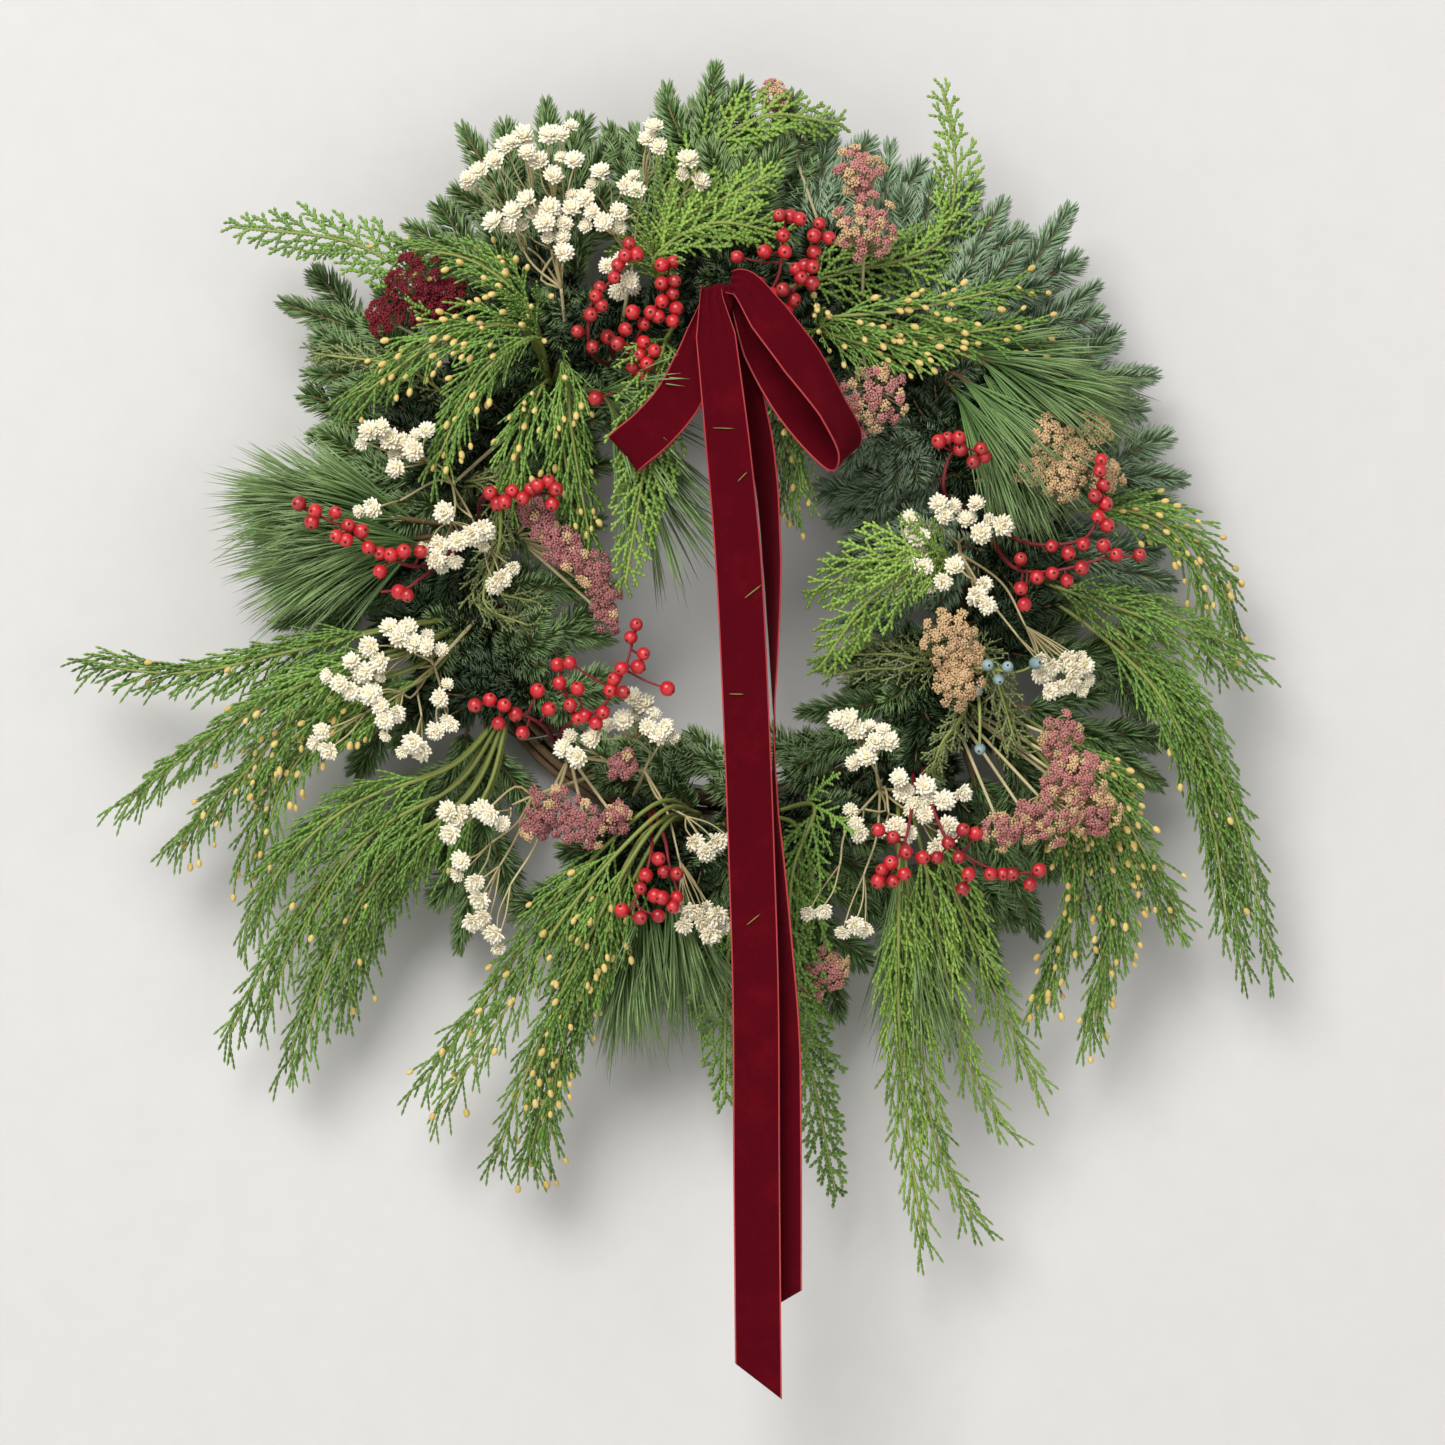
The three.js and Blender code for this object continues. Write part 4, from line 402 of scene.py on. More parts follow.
def living(name, tones, grain, patch=18.0, constants=()):
    """A leaf, needle, petal or berry finish: tones are deep, main and tip colours."""
    material, tree, shader = new_material(name, constants)
    deep, main, tip = (rgba(tone) for tone in tones)
    tone = use_group(tree, "leaf_tone", {
        "Deep": deep, "Main": main, "Tip": tip, "Patch Scale": patch})
    scale, low, high, strength, distance = grain
    fine = use_group(tree, "fine_grain", {"Scale": scale, "Low": low, "High": high})
    tree.links.new(tone["Color"], shader.inputs["Base Color"])
    tree.links.new(fine["Roughness"], shader.inputs["Roughness"])
    bumped(tree, shader, fine["Height"], strength, distance)
    return material


def velvet_material():
    """Deep red pile with a soft sheen at its edges."""
    material, tree, shader = new_material("velvet", {
        "Roughness": 0.95, "Sheen Weight": 0.3, "Sheen Roughness": 0.35,
        "Sheen Tint": rgba("b8203a"), "Specular IOR Level": 0.1})
    pile = use_group(tree, "velvet_pile")
    tree.links.new(pile["Color"], shader.inputs["Base Color"])
    bumped(tree, shader, pile["Height"], 0.35, 0.0004)
    return material


def wire_material():
    """Painted steel wire, worn in places."""
    material, tree, shader = new_material("green_wire", {"Metallic": 0.75})
    fine = use_group(tree, "fine_grain", {"Scale": 260.0, "Low": 0.3, "High": 0.62})
    tone = blend_colours(tree, fine["Height"], rgba("3c443c"), rgba("7f837a"))
    tree.links.new(tone, shader.inputs["Base Color"])
    tree.links.new(fine["Roughness"], shader.inputs["Roughness"])
    bumped(tree, shader, fine["Height"], 0.2, 0.0003)
    return material


LEAFY = {"Specular IOR Level": 0.4}
SOFT = {"Specular IOR Level": 0.2, "Subsurface Weight": 0.08, "Subsurface Radius": (0.003, 0.002, 0.001)}
NEEDLE_GRAIN = (500, 0.34, 0.58, 0.2, 0.0003)
SCALE_GRAIN = (900, 0.4, 0.64, 0.3, 0.0003)
FLORET_GRAIN = (1500, 0.7, 0.9, 0.8, 0.0006)
MATERIALS = {
    "fir": living("fir_needles", ("1e3a1a", "668c4c", "b8cc94"), NEEDLE_GRAIN, constants=LEAFY),
    "blue_fir": living("blue_fir_needles", ("2c4a30", "84a47c", "c8d8b8"), NEEDLE_GRAIN,
                       constants=LEAFY),
    # painted shade: a darker copy of the fir needles, for the undergrowth between the bunches' sprays
    "painted_shade_fir": living("painted_shade_fir_needles", ("101c0c", "25381c", "46603a"), NEEDLE_GRAIN,
                         constants=LEAFY),
    "pine": living("pine_needles", ("284620", "709552", "bcd296"), NEEDLE_GRAIN, constants=LEAFY),
    "cedar": living("cedar_scales", ("284a12", "719c3e", "b8d278"), SCALE_GRAIN, constants=LEAFY),
    "lime": living("young_cedar_scales", ("376018", "8ab046", "c6da80"), SCALE_GRAIN, constants=LEAFY),
    "juniper": living("juniper_leaves", ("3a4622", "84935a", "b8be88"), SCALE_GRAIN, constants=LEAFY),
    "male_cone": living("pollen_cones", ("b0953f", "dcc070", "f0dea0"), (1400, 0.5, 0.75, 0.5, 0.0005)),
    "twig": living("twig_bark", ("4a3820", "7d6440", "978054"), (700, 0.6, 0.85, 0.6, 0.0006)),
    "green_twig": living("green_twigs", ("55602a", "8b9648", "a9ae64"), (700, 0.5, 0.7, 0.3, 0.0004)),
    "berry": living("berry_skin", ("6c0a12", "c41c28", "e04a48"), (700, 0.22, 0.5, 0.25, 0.0004),
                    constants={"Coat Weight": 0.25, "Coat Roughness": 0.3}),
    "berry_stem": living("berry_stems", ("4c0c14", "7d1620", "9c2c30"), (900, 0.5, 0.7, 0.6, 0.0006)),
    "calyx": living("dark_calyx", ("1c0a08", "2f1410", "4a2418"), (900, 0.6, 0.8, 0.4, 0.0004)),
    "blueberry": living("bloomy_berries", ("4b6468", "8aa5a8", "b6c8c8"), (420, 0.6, 0.85, 0.15, 0.0003),
                        patch=140.0),
    "petal": living("papery_petals", ("dccfa4", "fbf3da", "fffdf4"), (800, 0.6, 0.85, 0.35, 0.0003),
                    constants=SOFT),
    "flower_disc": living("flower_centres", ("b39a5e", "e0ca8c", "f0e2b4"),
                          (1600, 0.7, 0.9, 0.8, 0.0006)),
    "dry_stem": living("dry_stems", ("94855a", "c4b586", "dccfa8"), (900, 0.6, 0.8, 0.4, 0.0004)),
    "pink": living("pink_florets", ("8c4348", "c07674", "e2aea2"), FLORET_GRAIN, patch=60.0,
                   constants=SOFT),
    "mauve": living("mauve_florets", ("6e3438", "a86064", "cf9a94"), FLORET_GRAIN, patch=60.0,
                    constants=SOFT),
    "burgundy": living("burgundy_florets", ("3a0a14", "701826", "96343e"), FLORET_GRAIN, patch=60.0,
                       constants=SOFT),
    "beige": living("beige_florets", ("a37c56", "d6b184", "ecd2a8"), FLORET_GRAIN, patch=60.0,
                    constants=SOFT),
    "selvedge": living("ribbon_selvedge", ("7c1c22", "b83338", "cf5a55"), (1800, 0.6, 0.8, 0.5, 0.0003)),
    "bark": living("stem_bark", ("33261a", "665036", "8c7654"), (330, 0.65, 0.9, 0.9, 0.001),
                   patch=55.0),
    "velvet": velvet_material(),
    "wire": wire_material(),
}


def finishes(*names):
    return [MATERIALS[name] for name in names]


# ---- greens ------------------------------------------------------------------------------------

NEEDLES_PER_MM = 4.2              # along a fir twig
FIR_LENGTH = 13.0                 # a fir needle, and one of the short twigs inside
SHORT_LENGTH = 12
FIR_NEEDLE = (0.74, 0.6)          # its half width and half thickness
FIR_RISE = (26, 24)               # degrees out of the twig's plane, mean and spread
FIR_LEAN = (68, 6)                # degrees from the twig, mean and spread
TIP_LEAN = 40                     # how much less it is at the twig's tip
PINE_BUNDLES = 36                 # on a tuft
BUNDLE_NEEDLES = 5
PINE_LENGTH = (62, 90)
PINE_NEEDLE = 0.55
BUNDLE_LEAN = (3, 38)             # degrees from the shoot
CONE_LENGTH = (3.6, 5.4)
CONE_SHARE = 0.36                 # half its width, of its length


def stem_spots(at, stem):
    """From the bound stems at a bunch's root out along its layout places."""
    root = spot([at[0], at[1], HUB_DEPTH])
    lift = spot([at[0] * 0.85 + stem[0][0] * 0.15, at[1] * 0.85 + stem[0][1] * 0.15, HUB_DEPTH + 10])
    return [root, lift, *[spot(place) for place in stem]]


def round_about(tangents, angle):
    """The ways out of a stem at angles about it, 0 to its side, and its ways to the front."""
    up = square_to(FRONT, tangents)
    side = np.cross(tangents, up)
    return np.cos(angle)[:, None] * side + np.sin(angle)[:, None] * up, up


def fir_sprig(heap, line, rng, reach=FIR_LENGTH, tone=0.5, finish=0):
    """One fir twig: needles all round it, swept forward, those below turned up to the sides."""
    heap.tube(line, (1.3, 0.8), 5, rng.uniform(0.2, 0.7), 1)
    length = float(np.sum(np.linalg.norm(np.diff(line, axis=0), axis=1)))
    number = int(length * NEEDLES_PER_MM)
    place = np.sort(rng.uniform(0.0, 1.0, number))
    tangents_at = ways(line)
    at = place * (len(line) - 1)
    low = np.minimum(at.astype(int), len(line) - 2)
    share = (at - low)[:, None]
    origins = line[low] * (1 - share) + line[low + 1] * share
    tangents = unit(tangents_at[low] * (1 - share) + tangents_at[low + 1] * share)
    rise = rng.normal(*FIR_RISE, number)
    out, up = round_about(tangents, np.radians(np.where(np.arange(number) % 2, rise, 180 - rise)))
    lean = np.radians(rng.normal(*FIR_LEAN, number) - TIP_LEAN * place ** 5)[:, None]
    z_ways = np.cos(lean) * tangents + np.sin(lean) * out
    outline = (0.72 + 0.28 * np.sin(np.pi * place)) * (1 - 0.36 * place ** 7)
    sizes = reach * outline * rng.uniform(0.9, 1.08, number)
    tints = np.clip(rng.normal(tone, 0.16, number), 0, 1)
    bends = (0.12 * up + 0.3 * tangents) * sizes[:, None]
    wide, thick = (np.full(number, share) for share in FIR_NEEDLE)
    heap.scatter("needle", origins, z_ways, up, np.stack([wide, thick, sizes], axis=1), tints,
                 finish, bends)


def side_lines(line, rng, places, lean, length, bend=0.25):
    """Shorter twigs that leave a line to both sides."""
    tangents = ways(line)
    made = []
    for k, place in enumerate(places):
        i = int(place * (len(line) - 1))
        tangent = tangents[i]
        side = np.cross(tangent, square_to(FRONT, tangent[None])[0]) * (1 if k % 2 else -1)
        turn = math.radians(lean + rng.uniform(-8, 8))
        way = unit(math.cos(turn) * tangent + math.sin(turn) * side + rng.uniform(-0.12, 0.06) * FRONT)
        reach = length * rng.uniform(0.8, 1.1)
        u = np.linspace(0, 1, 8)[:, None]
        made.append(line[i] + way * u * reach + (tangent - way) * bend * reach * u ** 2)
    return made


def fir_branch(heap, spots, rng, tone=0.5):
    """A bare foot, a needled leader and four side twigs."""
    line = smooth_line(spots, 5.0)
    green = line[int(len(line) * 0.36):]
    heap.tube(line[:int(len(line) * 0.4) + 1], (2.0, 1.4), 6, 0.4, 1)
    fir_sprig(heap, green, rng, tone=tone)
    for twig in side_lines(green, rng, (0.08, 0.2, 0.42, 0.55), 40, 42):
        fir_sprig(heap, twig, rng, tone=tone - 0.06)


def pine_tuft(heap, spots, rng):
    """A leafy shoot of white pine: bundles of five long needles round its outer half."""
    line = smooth_line(spots, 4.0)
    heap.tube(line, (2.0, 1.3), 6, 0.4, 1)
    each = BUNDLE_NEEDLES
    number = PINE_BUNDLES * each
    place = rng.uniform(0.42, 1.0, PINE_BUNDLES) ** 0.8
    tangents_at = ways(line)
    index = np.minimum((place * (len(line) - 1)).astype(int), len(line) - 1)
    origins, tangents = line[index], tangents_at[index]
    out, up = round_about(tangents, rng.uniform(0, 2 * np.pi, PINE_BUNDLES))
    lean = np.radians(rng.uniform(*BUNDLE_LEAN, PINE_BUNDLES))[:, None]
    bundle_ways = np.repeat(np.cos(lean) * tangents + np.sin(lean) * out, each, axis=0)
    z_ways = unit(bundle_ways + rng.normal(0, 0.05, (number, 3)))
    sizes = rng.uniform(*PINE_LENGTH, number) * (1.06 - 0.25 * np.repeat(place, each))
    tones = np.repeat(rng.normal(0.5, 0.15, PINE_BUNDLES), each)
    tints = np.clip(tones + rng.normal(0, 0.06, number), 0, 1)
    bends = DOWN[None] * (sizes * rng.uniform(0.02, 0.2, number))[:, None]
    thick = np.full(number, PINE_NEEDLE)
    heap.scatter("long_needle", np.repeat(origins, each, axis=0), z_ways,
                 np.repeat(up, each, axis=0), np.stack([thick, thick, sizes], axis=1), tints, 0, bends)


FRONDS = {
    "cedar": {"pitch": 5.0, "reach": 32, "lean": 42, "sub_pitch": 3.7, "sub": 11.5, "sub_lean": 36,
              "width": 1.5, "scale": 2.6, "droop": 0.08, "bare": 0.3},
    "strand": {"pitch": 6.6, "reach": 46, "lean": 24, "sub_pitch": 6.0, "sub": 19.0, "sub_lean": 21,
               "width": 1.12, "scale": 3.6, "droop": 0.34, "bare": 0.34},
    "juniper": {"pitch": 5.0, "reach": 20, "lean": 40, "sub_pitch": 3.2, "sub": 7.5, "sub_lean": 42,
                "width": 0.95, "scale": 2.1, "droop": 0.0, "bare": 0.25},
}


def side_branch(form, foot, tangent, face, sign, length, rng):
    """A side branch's path: outward, then pulled along the stem and down."""
    side = np.cross(face, tangent) * sign
    lean = math.radians(form["lean"] + rng.uniform(-6, 6))
    way = unit(math.cos(lean) * tangent + math.sin(lean) * side + rng.normal(0, 0.1) * face)
    pull = tangent * 0.3 - side * 0.15 + DOWN * form["droop"] + face * rng.normal(0, 0.07)
    u = np.linspace(0, 1, 9)[:, None]
    return foot + way * u * length + pull * length * u ** 2 * 0.6


def forks_of(form, path, face, length, rng):
    """The short forks to both sides of a side branch, shorter towards its tip."""
    directions = ways(path)
    count = int(length / form["sub_pitch"])
    forks = []
    for m in range(1, count):
        share = m / count
        i = int(share * (len(path) - 1))
        away = np.cross(face, directions[i]) * (1 if m % 2 else -1)
        turn = math.radians(form["sub_lean"] + rng.uniform(-7, 7))
        go = unit(math.cos(turn) * directions[i] + math.sin(turn) * away + rng.normal(0, 0.08) * face)
        reach = form["sub"] * (1.08 - 0.8 * share) * rng.uniform(0.75, 1.15)
        w = np.linspace(0, 1, 4)[:, None]
        forks.append(path[i] + go * w * reach + DOWN * form["droop"] * 0.5 * reach * w ** 2)
    return forks


def scales_on(heap, paths, form, rng):
    """Overlapping scale leaves along paths, each given as (line, face, tint, half width)."""
    at, way, faces, tints, wide = [], [], [], [], []
    for path, face, tint, width in paths:
        steps = resample(path, form["scale"])
        count = len(steps) - 1
        at.append(steps[:-1])
        way.append(np.diff(steps, axis=0))
        faces.append(np.repeat(face[None], count, axis=0))
        tints.append(rng.normal(tint, 0.08, count))
        wide.append(np.linspace(width, width * 0.8, count))
    way, wide = np.vstack(way), np.concatenate(wide)
    sizes = np.stack([wide, wide * 0.8, np.linalg.norm(way, axis=1)], axis=1)
    tints = np.clip(np.concatenate(tints), 0, 1)
    heap.scatter("scale", np.vstack(at), way, np.vstack(faces), sizes, tints, 0)


def pollen_cones(heap, forks, rng):
    """A cone at the end of each of the forks."""
    if not forks:
        return
    at = np.array([fork[-1] for fork in forks])
    way = unit(np.array([fork[-1] - fork[-2] for fork in forks]))
    long = rng.uniform(*CONE_LENGTH, len(at))
    sizes = np.stack([long * CONE_SHARE, long * CONE_SHARE, long], axis=1)
    heap.scatter("cone", at - way * 0.4, way, np.repeat(FRONT[None], len(at), axis=0), sizes,
                 rng.uniform(0.3, 1.0, len(at)), 2)


def frond(heap, spots, look, rng, cones=0.0, tilt=0.0):
    """A flat spray: side branches to both sides, each with short forks, all in small scales."""
    form = FRONDS[look]
    line = smooth_line(spots, form["pitch"])
    tangents = ways(line)
    count = len(line)
    facing = square_to(FRONT + tilt * np.array([1.0, 0.0, 0.3]), tangents)
    heap.tube(line, (1.5, 0.55), 5, rng.uniform(0.3, 0.7), 1)
    paths, coned = [], []
    for k in range(int(form["bare"] * count), count):
        t = k / (count - 1)
        outline = math.sin(math.pi * min(1.0, 0.25 + 0.72 * t)) if look == "cedar" else 1 - 0.75 * t
        length = form["reach"] * outline * rng.uniform(0.8, 1.12) + 4
        path = side_branch(form, line[k], tangents[k], facing[k], 1 if k % 2 else -1, length, rng)
        tint = float(np.clip(rng.normal(0.5, 0.14), 0, 1))
        forks = forks_of(form, path, facing[k], length, rng)
        paths.append((path, facing[k], tint, form["width"]))
        paths += [(fork, facing[k], tint, form["width"] * 0.9) for fork in forks]
        coned += [fork for fork in forks if rng.random() < cones]
    paths.append((line[int(form["bare"] * 0.8 * count):], facing[-1], 0.5, form["width"] * 1.15))
    scales_on(heap, paths, form, rng)
    pollen_cones(heap, coned, rng)


def beside(stem, rng, wander, depth):
    """A companion of a stem: the same run, moved and turned a little."""
    shift = rng.normal(0, wander, 2)
    return [[x + shift[0] * (0.4 + 0.3 * i), z + shift[1] * (0.4 + 0.3 * i), max(d + depth, 8)]
            for i, (x, z, d) in enumerate(stem)]


# name: look, colour, root [x, z], seed, share of twigs with pollen cones (one for all stems or
# one for each), companions of each stem, stems
GREENS = {
    "pine_left": ("pine", "pine", [-136, 20], 41, 0, 2, [
        [[-168, 22, 60], [-222, 30, 64]], [[-166, 10, 62], [-214, 6, 68]]]),
    "pine_right": ("pine", "pine", [114, 84], 42, 0, 2, [
        [[122, 116, 66], [172, 98, 74]], [[124, 104, 64], [158, 70, 70]]]),
    "pine_hole": ("pine", "pine", [-96, 82], 43, 0, 0, [[[-70, 92, 78], [-44, 42, 88]]]),
    "pine_low_left": ("pine", "pine", [-30, -138], 44, 0, 1, [
        [[-48, -170, 50], [-58, -214, 48]], [[-34, -168, 50], [-24, -205, 50]]]),
    "pine_low_right": ("pine", "pine", [78, -116], 45, 0, 1, [[[96, -160, 58], [106, -218, 60]]]),
    "cedar_top_left": ("cedar", "cedar", [-124, 76], 51, 0, 0, [
        [[-150, 132, 70], [-200, 172, 72], [-274, 185, 62]]]),
    "cedar_cone_fan": ("strand", "cedar", [-98, 100], 52, 0.3, 1, [
        [[-114, 128, 84], [-154, 122, 90], [-202, 90, 84]],
        [[-108, 122, 86], [-136, 100, 94], [-160, 54, 88]],
        [[-102, 96, 76], [-112, 72, 90], [-120, 40, 88]],
        [[-112, 142, 84], [-140, 164, 84], [-176, 172, 76]],
        [[-88, 106, 92], [-86, 74, 94], [-76, 12, 88]]]),
    "cedar_top": ("cedar", "lime", [-26, 138], 53, 0, 0, [
        [[-40, 166, 88], [-10, 184, 92], [34, 178, 88]], [[-40, 176, 84], [-6, 196, 86], [26, 214, 80]],
        [[-30, 180, 66], [-14, 222, 60], [20, 246, 62], [62, 242, 58]],
        [[60, 158, 64], [116, 176, 62], [126, 216, 58], [119, 263, 52]],
        [[-36, 112, 100], [-46, 48, 111], [-56, -14, 106]]]),
    "cedar_bow_right": ("strand", "cedar", [72, 122], 55, 0.4, 1, [
        [[52, 132, 84], [96, 136, 96], [156, 150, 84]], [[50, 126, 84], [84, 116, 92], [128, 122, 86]],
        [[44, 100, 84], [36, 74, 88], [40, 38, 86]]]),
    "cedar_left": ("strand", "cedar", [-140, -30], 57, (0.02, 0.05, 0.3, 0.35), 1, [
        [[-176, -36, 70], [-240, -50, 72], [-300, -62, 62], [-352, -58, 50]],
        [[-176, -50, 80], [-232, -68, 84], [-284, -98, 72], [-334, -134, 54]],
        [[-170, -58, 74], [-228, -78, 78], [-262, -112, 66], [-304, -156, 50]],
        [[-166, -64, 72], [-214, -88, 74], [-244, -120, 62], [-258, -160, 50]]]),
    "cedar_low_left": ("strand", "cedar", [-120, -76], 58, 0.03, 1, [
        [[-150, -112, 62], [-206, -134, 64], [-246, -168, 56], [-263, -204, 46]],
        [[-148, -122, 62], [-198, -152, 62], [-236, -204, 50], [-258, -250, 40]],
        [[-142, -128, 60], [-186, -164, 60], [-220, -220, 46], [-238, -276, 36]],
        [[-136, -132, 58], [-170, -160, 56], [-198, -196, 48], [-218, -246, 38]]]),
    "cedar_bottom_left": ("strand", "cedar", [-16, -140], 59, (0.12, 0.2, 0.25), 1, [
        [[-36, -138, 84], [-84, -188, 84], [-124, -250, 66], [-160, -304, 48]],
        [[-40, -146, 86], [-76, -206, 84], [-106, -270, 64], [-128, -330, 46]],
        [[-44, -150, 84], [-72, -214, 80], [-92, -268, 62], [-100, -326, 44]]]),
    "cedar_bottom": ("cedar", "cedar", [22, -140], 60, 0, 0, [
        [[40, -150, 70], [34, -210, 72], [40, -284, 58]],
        [[30, -160, 50], [38, -240, 48], [50, -300, 42], [60, -352, 38]],
        [[8, -164, 56], [0, -220, 54], [-2, -300, 40]],
        [[48, -136, 76], [36, -170, 78], [34, -222, 72]]]),
    "cedar_bottom_right": ("strand", "lime", [94, -104], 61, 0, 0, [
        [[94, -164, 86], [94, -250, 78], [98, -300, 60], [108, -376, 44]],
        [[98, -170, 84], [104, -250, 74], [118, -330, 54], [138, -366, 44]],
        [[108, -166, 82], [122, -236, 70], [136, -284, 54], [151, -312, 44]],
        [[116, -160, 80], [138, -214, 66], [156, -256, 50], [171, -286, 42]]]),
    "cedar_low_right": ("strand", "cedar", [126, -62], 62, 0.35, 1, [
        [[182, -120, 62], [196, -170, 68], [178, -236, 52]],
        [[190, -120, 62], [214, -176, 66], [204, -256, 50]],
        [[198, -112, 62], [232, -164, 64], [250, -196, 52]]]),
    "cedar_right": ("strand", "cedar", [144, 0], 63, (0.02, 0.02, 0.0, 0.35), 1, [
        [[196, -34, 68], [236, -72, 74], [264, -130, 62], [278, -204, 46]],
        [[200, -28, 66], [246, -70, 72], [278, -132, 58], [303, -222, 42]],
        [[196, -20, 72], [234, -34, 80], [280, -60, 66]],
        [[190, 28, 58], [238, 22, 62], [262, -8, 56], [270, -46, 46]]]),
    "cedar_hole_right": ("cedar", "lime", [140, -6], 64, 0, 0, [
        [[108, 4, 94], [80, 0, 100], [46, -20, 92]], [[110, -2, 94], [78, -22, 98], [50, -60, 86]]]),
    "juniper_left": ("juniper", "juniper", [-128, 56], 65, 0, 2, [
        [[-150, 86, 66], [-178, 106, 70], [-222, 114, 58]], [[-146, 44, 62], [-128, 46, 74]],
        [[-126, 10, 66], [-134, -24, 78], [-110, -36, 78]]]),
    "juniper_right": ("juniper", "juniper", [130, -52], 66, 0, 2, [
        [[140, -50, 76], [146, -62, 84], [158, -100, 80]],
        [[112, -56, 72], [90, -52, 80], [68, -52, 74]],
        [[130, -84, 74], [118, -100, 80], [112, -116, 76]]]),
    "fir_top_left": ("fir", "fir", [-84, 112], 71, 0, 0, [
        [[-112, 178, 46], [-147, 240, 42]], [[-96, 188, 44], [-101, 254, 38]],
        [[-84, 176, 52], [-86, 244, 50]], [[-120, 150, 48], [-176, 186, 44]]]),
    "fir_top": ("fir", "fir", [0, 140], 72, 0, 0, [
        [[-46, 190, 46], [-66, 240, 46]], [[-30, 200, 44], [-34, 262, 42]],
        [[-14, 210, 50], [-7, 273, 54]], [[16, 196, 44], [36, 258, 40]],
        [[4, 180, 54], [10, 226, 58]]]),
    "fir_top_right": ("fir", "fir", [84, 112], 73, 0, 0, [
        [[52, 178, 44], [56, 246, 40]], [[84, 170, 46], [90, 230, 42]],
        [[104, 160, 48], [114, 212, 50]], [[118, 146, 50], [152, 198, 46]],
        [[122, 130, 56], [162, 172, 60]]]),
    "fir_right": ("fir", "fir", [136, 50], 74, 0, 0, [
        [[150, 128, 42], [190, 196, 40]], [[158, 114, 44], [203, 152, 44]],
        [[176, 92, 42], [236, 104, 38]], [[182, 50, 42], [252, 46, 36]],
        [[180, 10, 42], [246, -12, 36]], [[92, 40, 44], [59, 24, 46]]]),
    "fir_right_low": ("fir", "fir", [122, -76], 75, 0, 0, [
        [[184, -50, 42], [252, -74, 34]], [[176, -84, 40], [240, -124, 34]],
        [[142, -136, 38], [172, -206, 34]], [[124, -150, 40], [150, -236, 34]],
        [[160, -112, 42], [196, -172, 36]]]),
    "fir_bottom": ("fir", "fir", [0, -142], 76, 0, 0, [
        [[44, -186, 38], [62, -252, 34]], [[84, -178, 36], [112, -236, 32]],
        [[14, -190, 36], [26, -244, 32]], [[-24, -184, 36], [-42, -232, 32]],
        [[-70, -172, 38], [-104, -212, 34]]]),
    "fir_left": ("fir", "fir", [-138, -44], 77, 0, 0, [
        [[-184, -14, 42], [-250, -34, 36]], [[-186, 20, 42], [-262, 16, 36]],
        [[-170, -66, 42], [-226, -104, 36]], [[-150, -112, 38], [-192, -188, 34]],
        [[-134, -128, 38], [-150, -214, 32]]]),
    "fir_left_upper": ("fir", "fir", [-130, 64], 78, 0, 0, [
        [[-180, 116, 42], [-246, 144, 38]], [[-178, 76, 42], [-230, 70, 36]],
        [[-176, 100, 50], [-232, 104, 46]], [[-168, 44, 44], [-226, 48, 44]]]),
}

# Short fir twigs that hide the bound stems, as (root x, z) and (tip x, z, depth).
INNER_FIR = {
    "fir_top": [
        ([-60, 128], [-44, 84, 44]), ([-30, 138], [-8, 92, 40]), ([0, 140], [22, 96, 44]),
        ([34, 136], [36, 84, 50]), ([-20, 140], [-30, 190, 60]), ([20, 140], [-10, 170, 64])],
    "fir_top_right": [
        ([66, 124], [52, 70, 48]), ([90, 108], [66, 52, 52]), ([104, 94], [92, 40, 56]),
        ([98, 100], [140, 96, 60])],
    "fir_right": [
        ([126, 60], [64, 34, 50]), ([136, 34], [58, -4, 46]), ([140, 8], [70, 10, 54]),
        ([140, 0], [66, -34, 48]), ([138, 24], [176, 26, 60]), ([128, 58], [96, 76, 62])],
    "fir_right_low": [
        ([134, -40], [54, -58, 46]), ([120, -74], [42, -84, 50]), ([100, -98], [30, -104, 48]),
        ([124, -66], [84, -66, 60]), ([110, -88], [96, -130, 62])],
    "fir_bottom": [
        ([60, -126], [18, -92, 46]), ([20, -138], [-20, -96, 44]), ([-20, -138], [-50, -92, 44]),
        ([-50, -130], [-78, -96, 46]), ([0, -140], [-4, -188, 60]), ([44, -132], [80, -160, 60])],
    "fir_left": [
        ([-120, -74], [-62, -74, 48]), ([-134, -40], [-66, -42, 50]), ([-138, -16], [-66, -14, 54]),
        ([-128, -60], [-96, -40, 62]), ([-136, -30], [-176, -52, 60])],
    "fir_left_upper": [
        ([-138, 16], [-72, 22, 50]), ([-134, 44], [-66, 54, 48]), ([-118, 76], [-74, 64, 52]),
        ([-138, 30], [-186, 32, 58])],
    "fir_top_left": [
        ([-104, 94], [-62, 78, 46]), ([-84, 112], [-52, 100, 44]), ([-96, 104], [-140, 116, 58]),
        ([-76, 118], [-96, 150, 62])],
}
BLUE_FIRS = ("fir_top_right", "fir_right")
# Short twigs round a fir bunch's root, their needles coloured dark as painted shade: radius from the
# ring's centre, spread in radians
UNDERGROWTH = {"count": 9, "spread": 0.44, "radius": (124, 158), "depth": (46, 66), "length": (42, 62)}
INNER_TONE = 0.42
# the undergrowth twigs' tone within the painted-shade needle colours
PAINTED_SHADE_TONE = 0.4


def short_fir(heap, root, tip, rng, tone, finish=0):
    """A short fir twig that leaves the bound stems, with a few side twigs."""
    middle = root * 0.5 + tip * 0.5 + FRONT * 7
    line = smooth_line([root, middle, tip], 5.0)
    fir_sprig(heap, line, rng, tone=tone, finish=finish)
    for twig in side_lines(line, rng, (0.2, 0.35, 0.6), 38, 28):
        fir_sprig(heap, twig, rng, SHORT_LENGTH, tone - 0.05, finish)


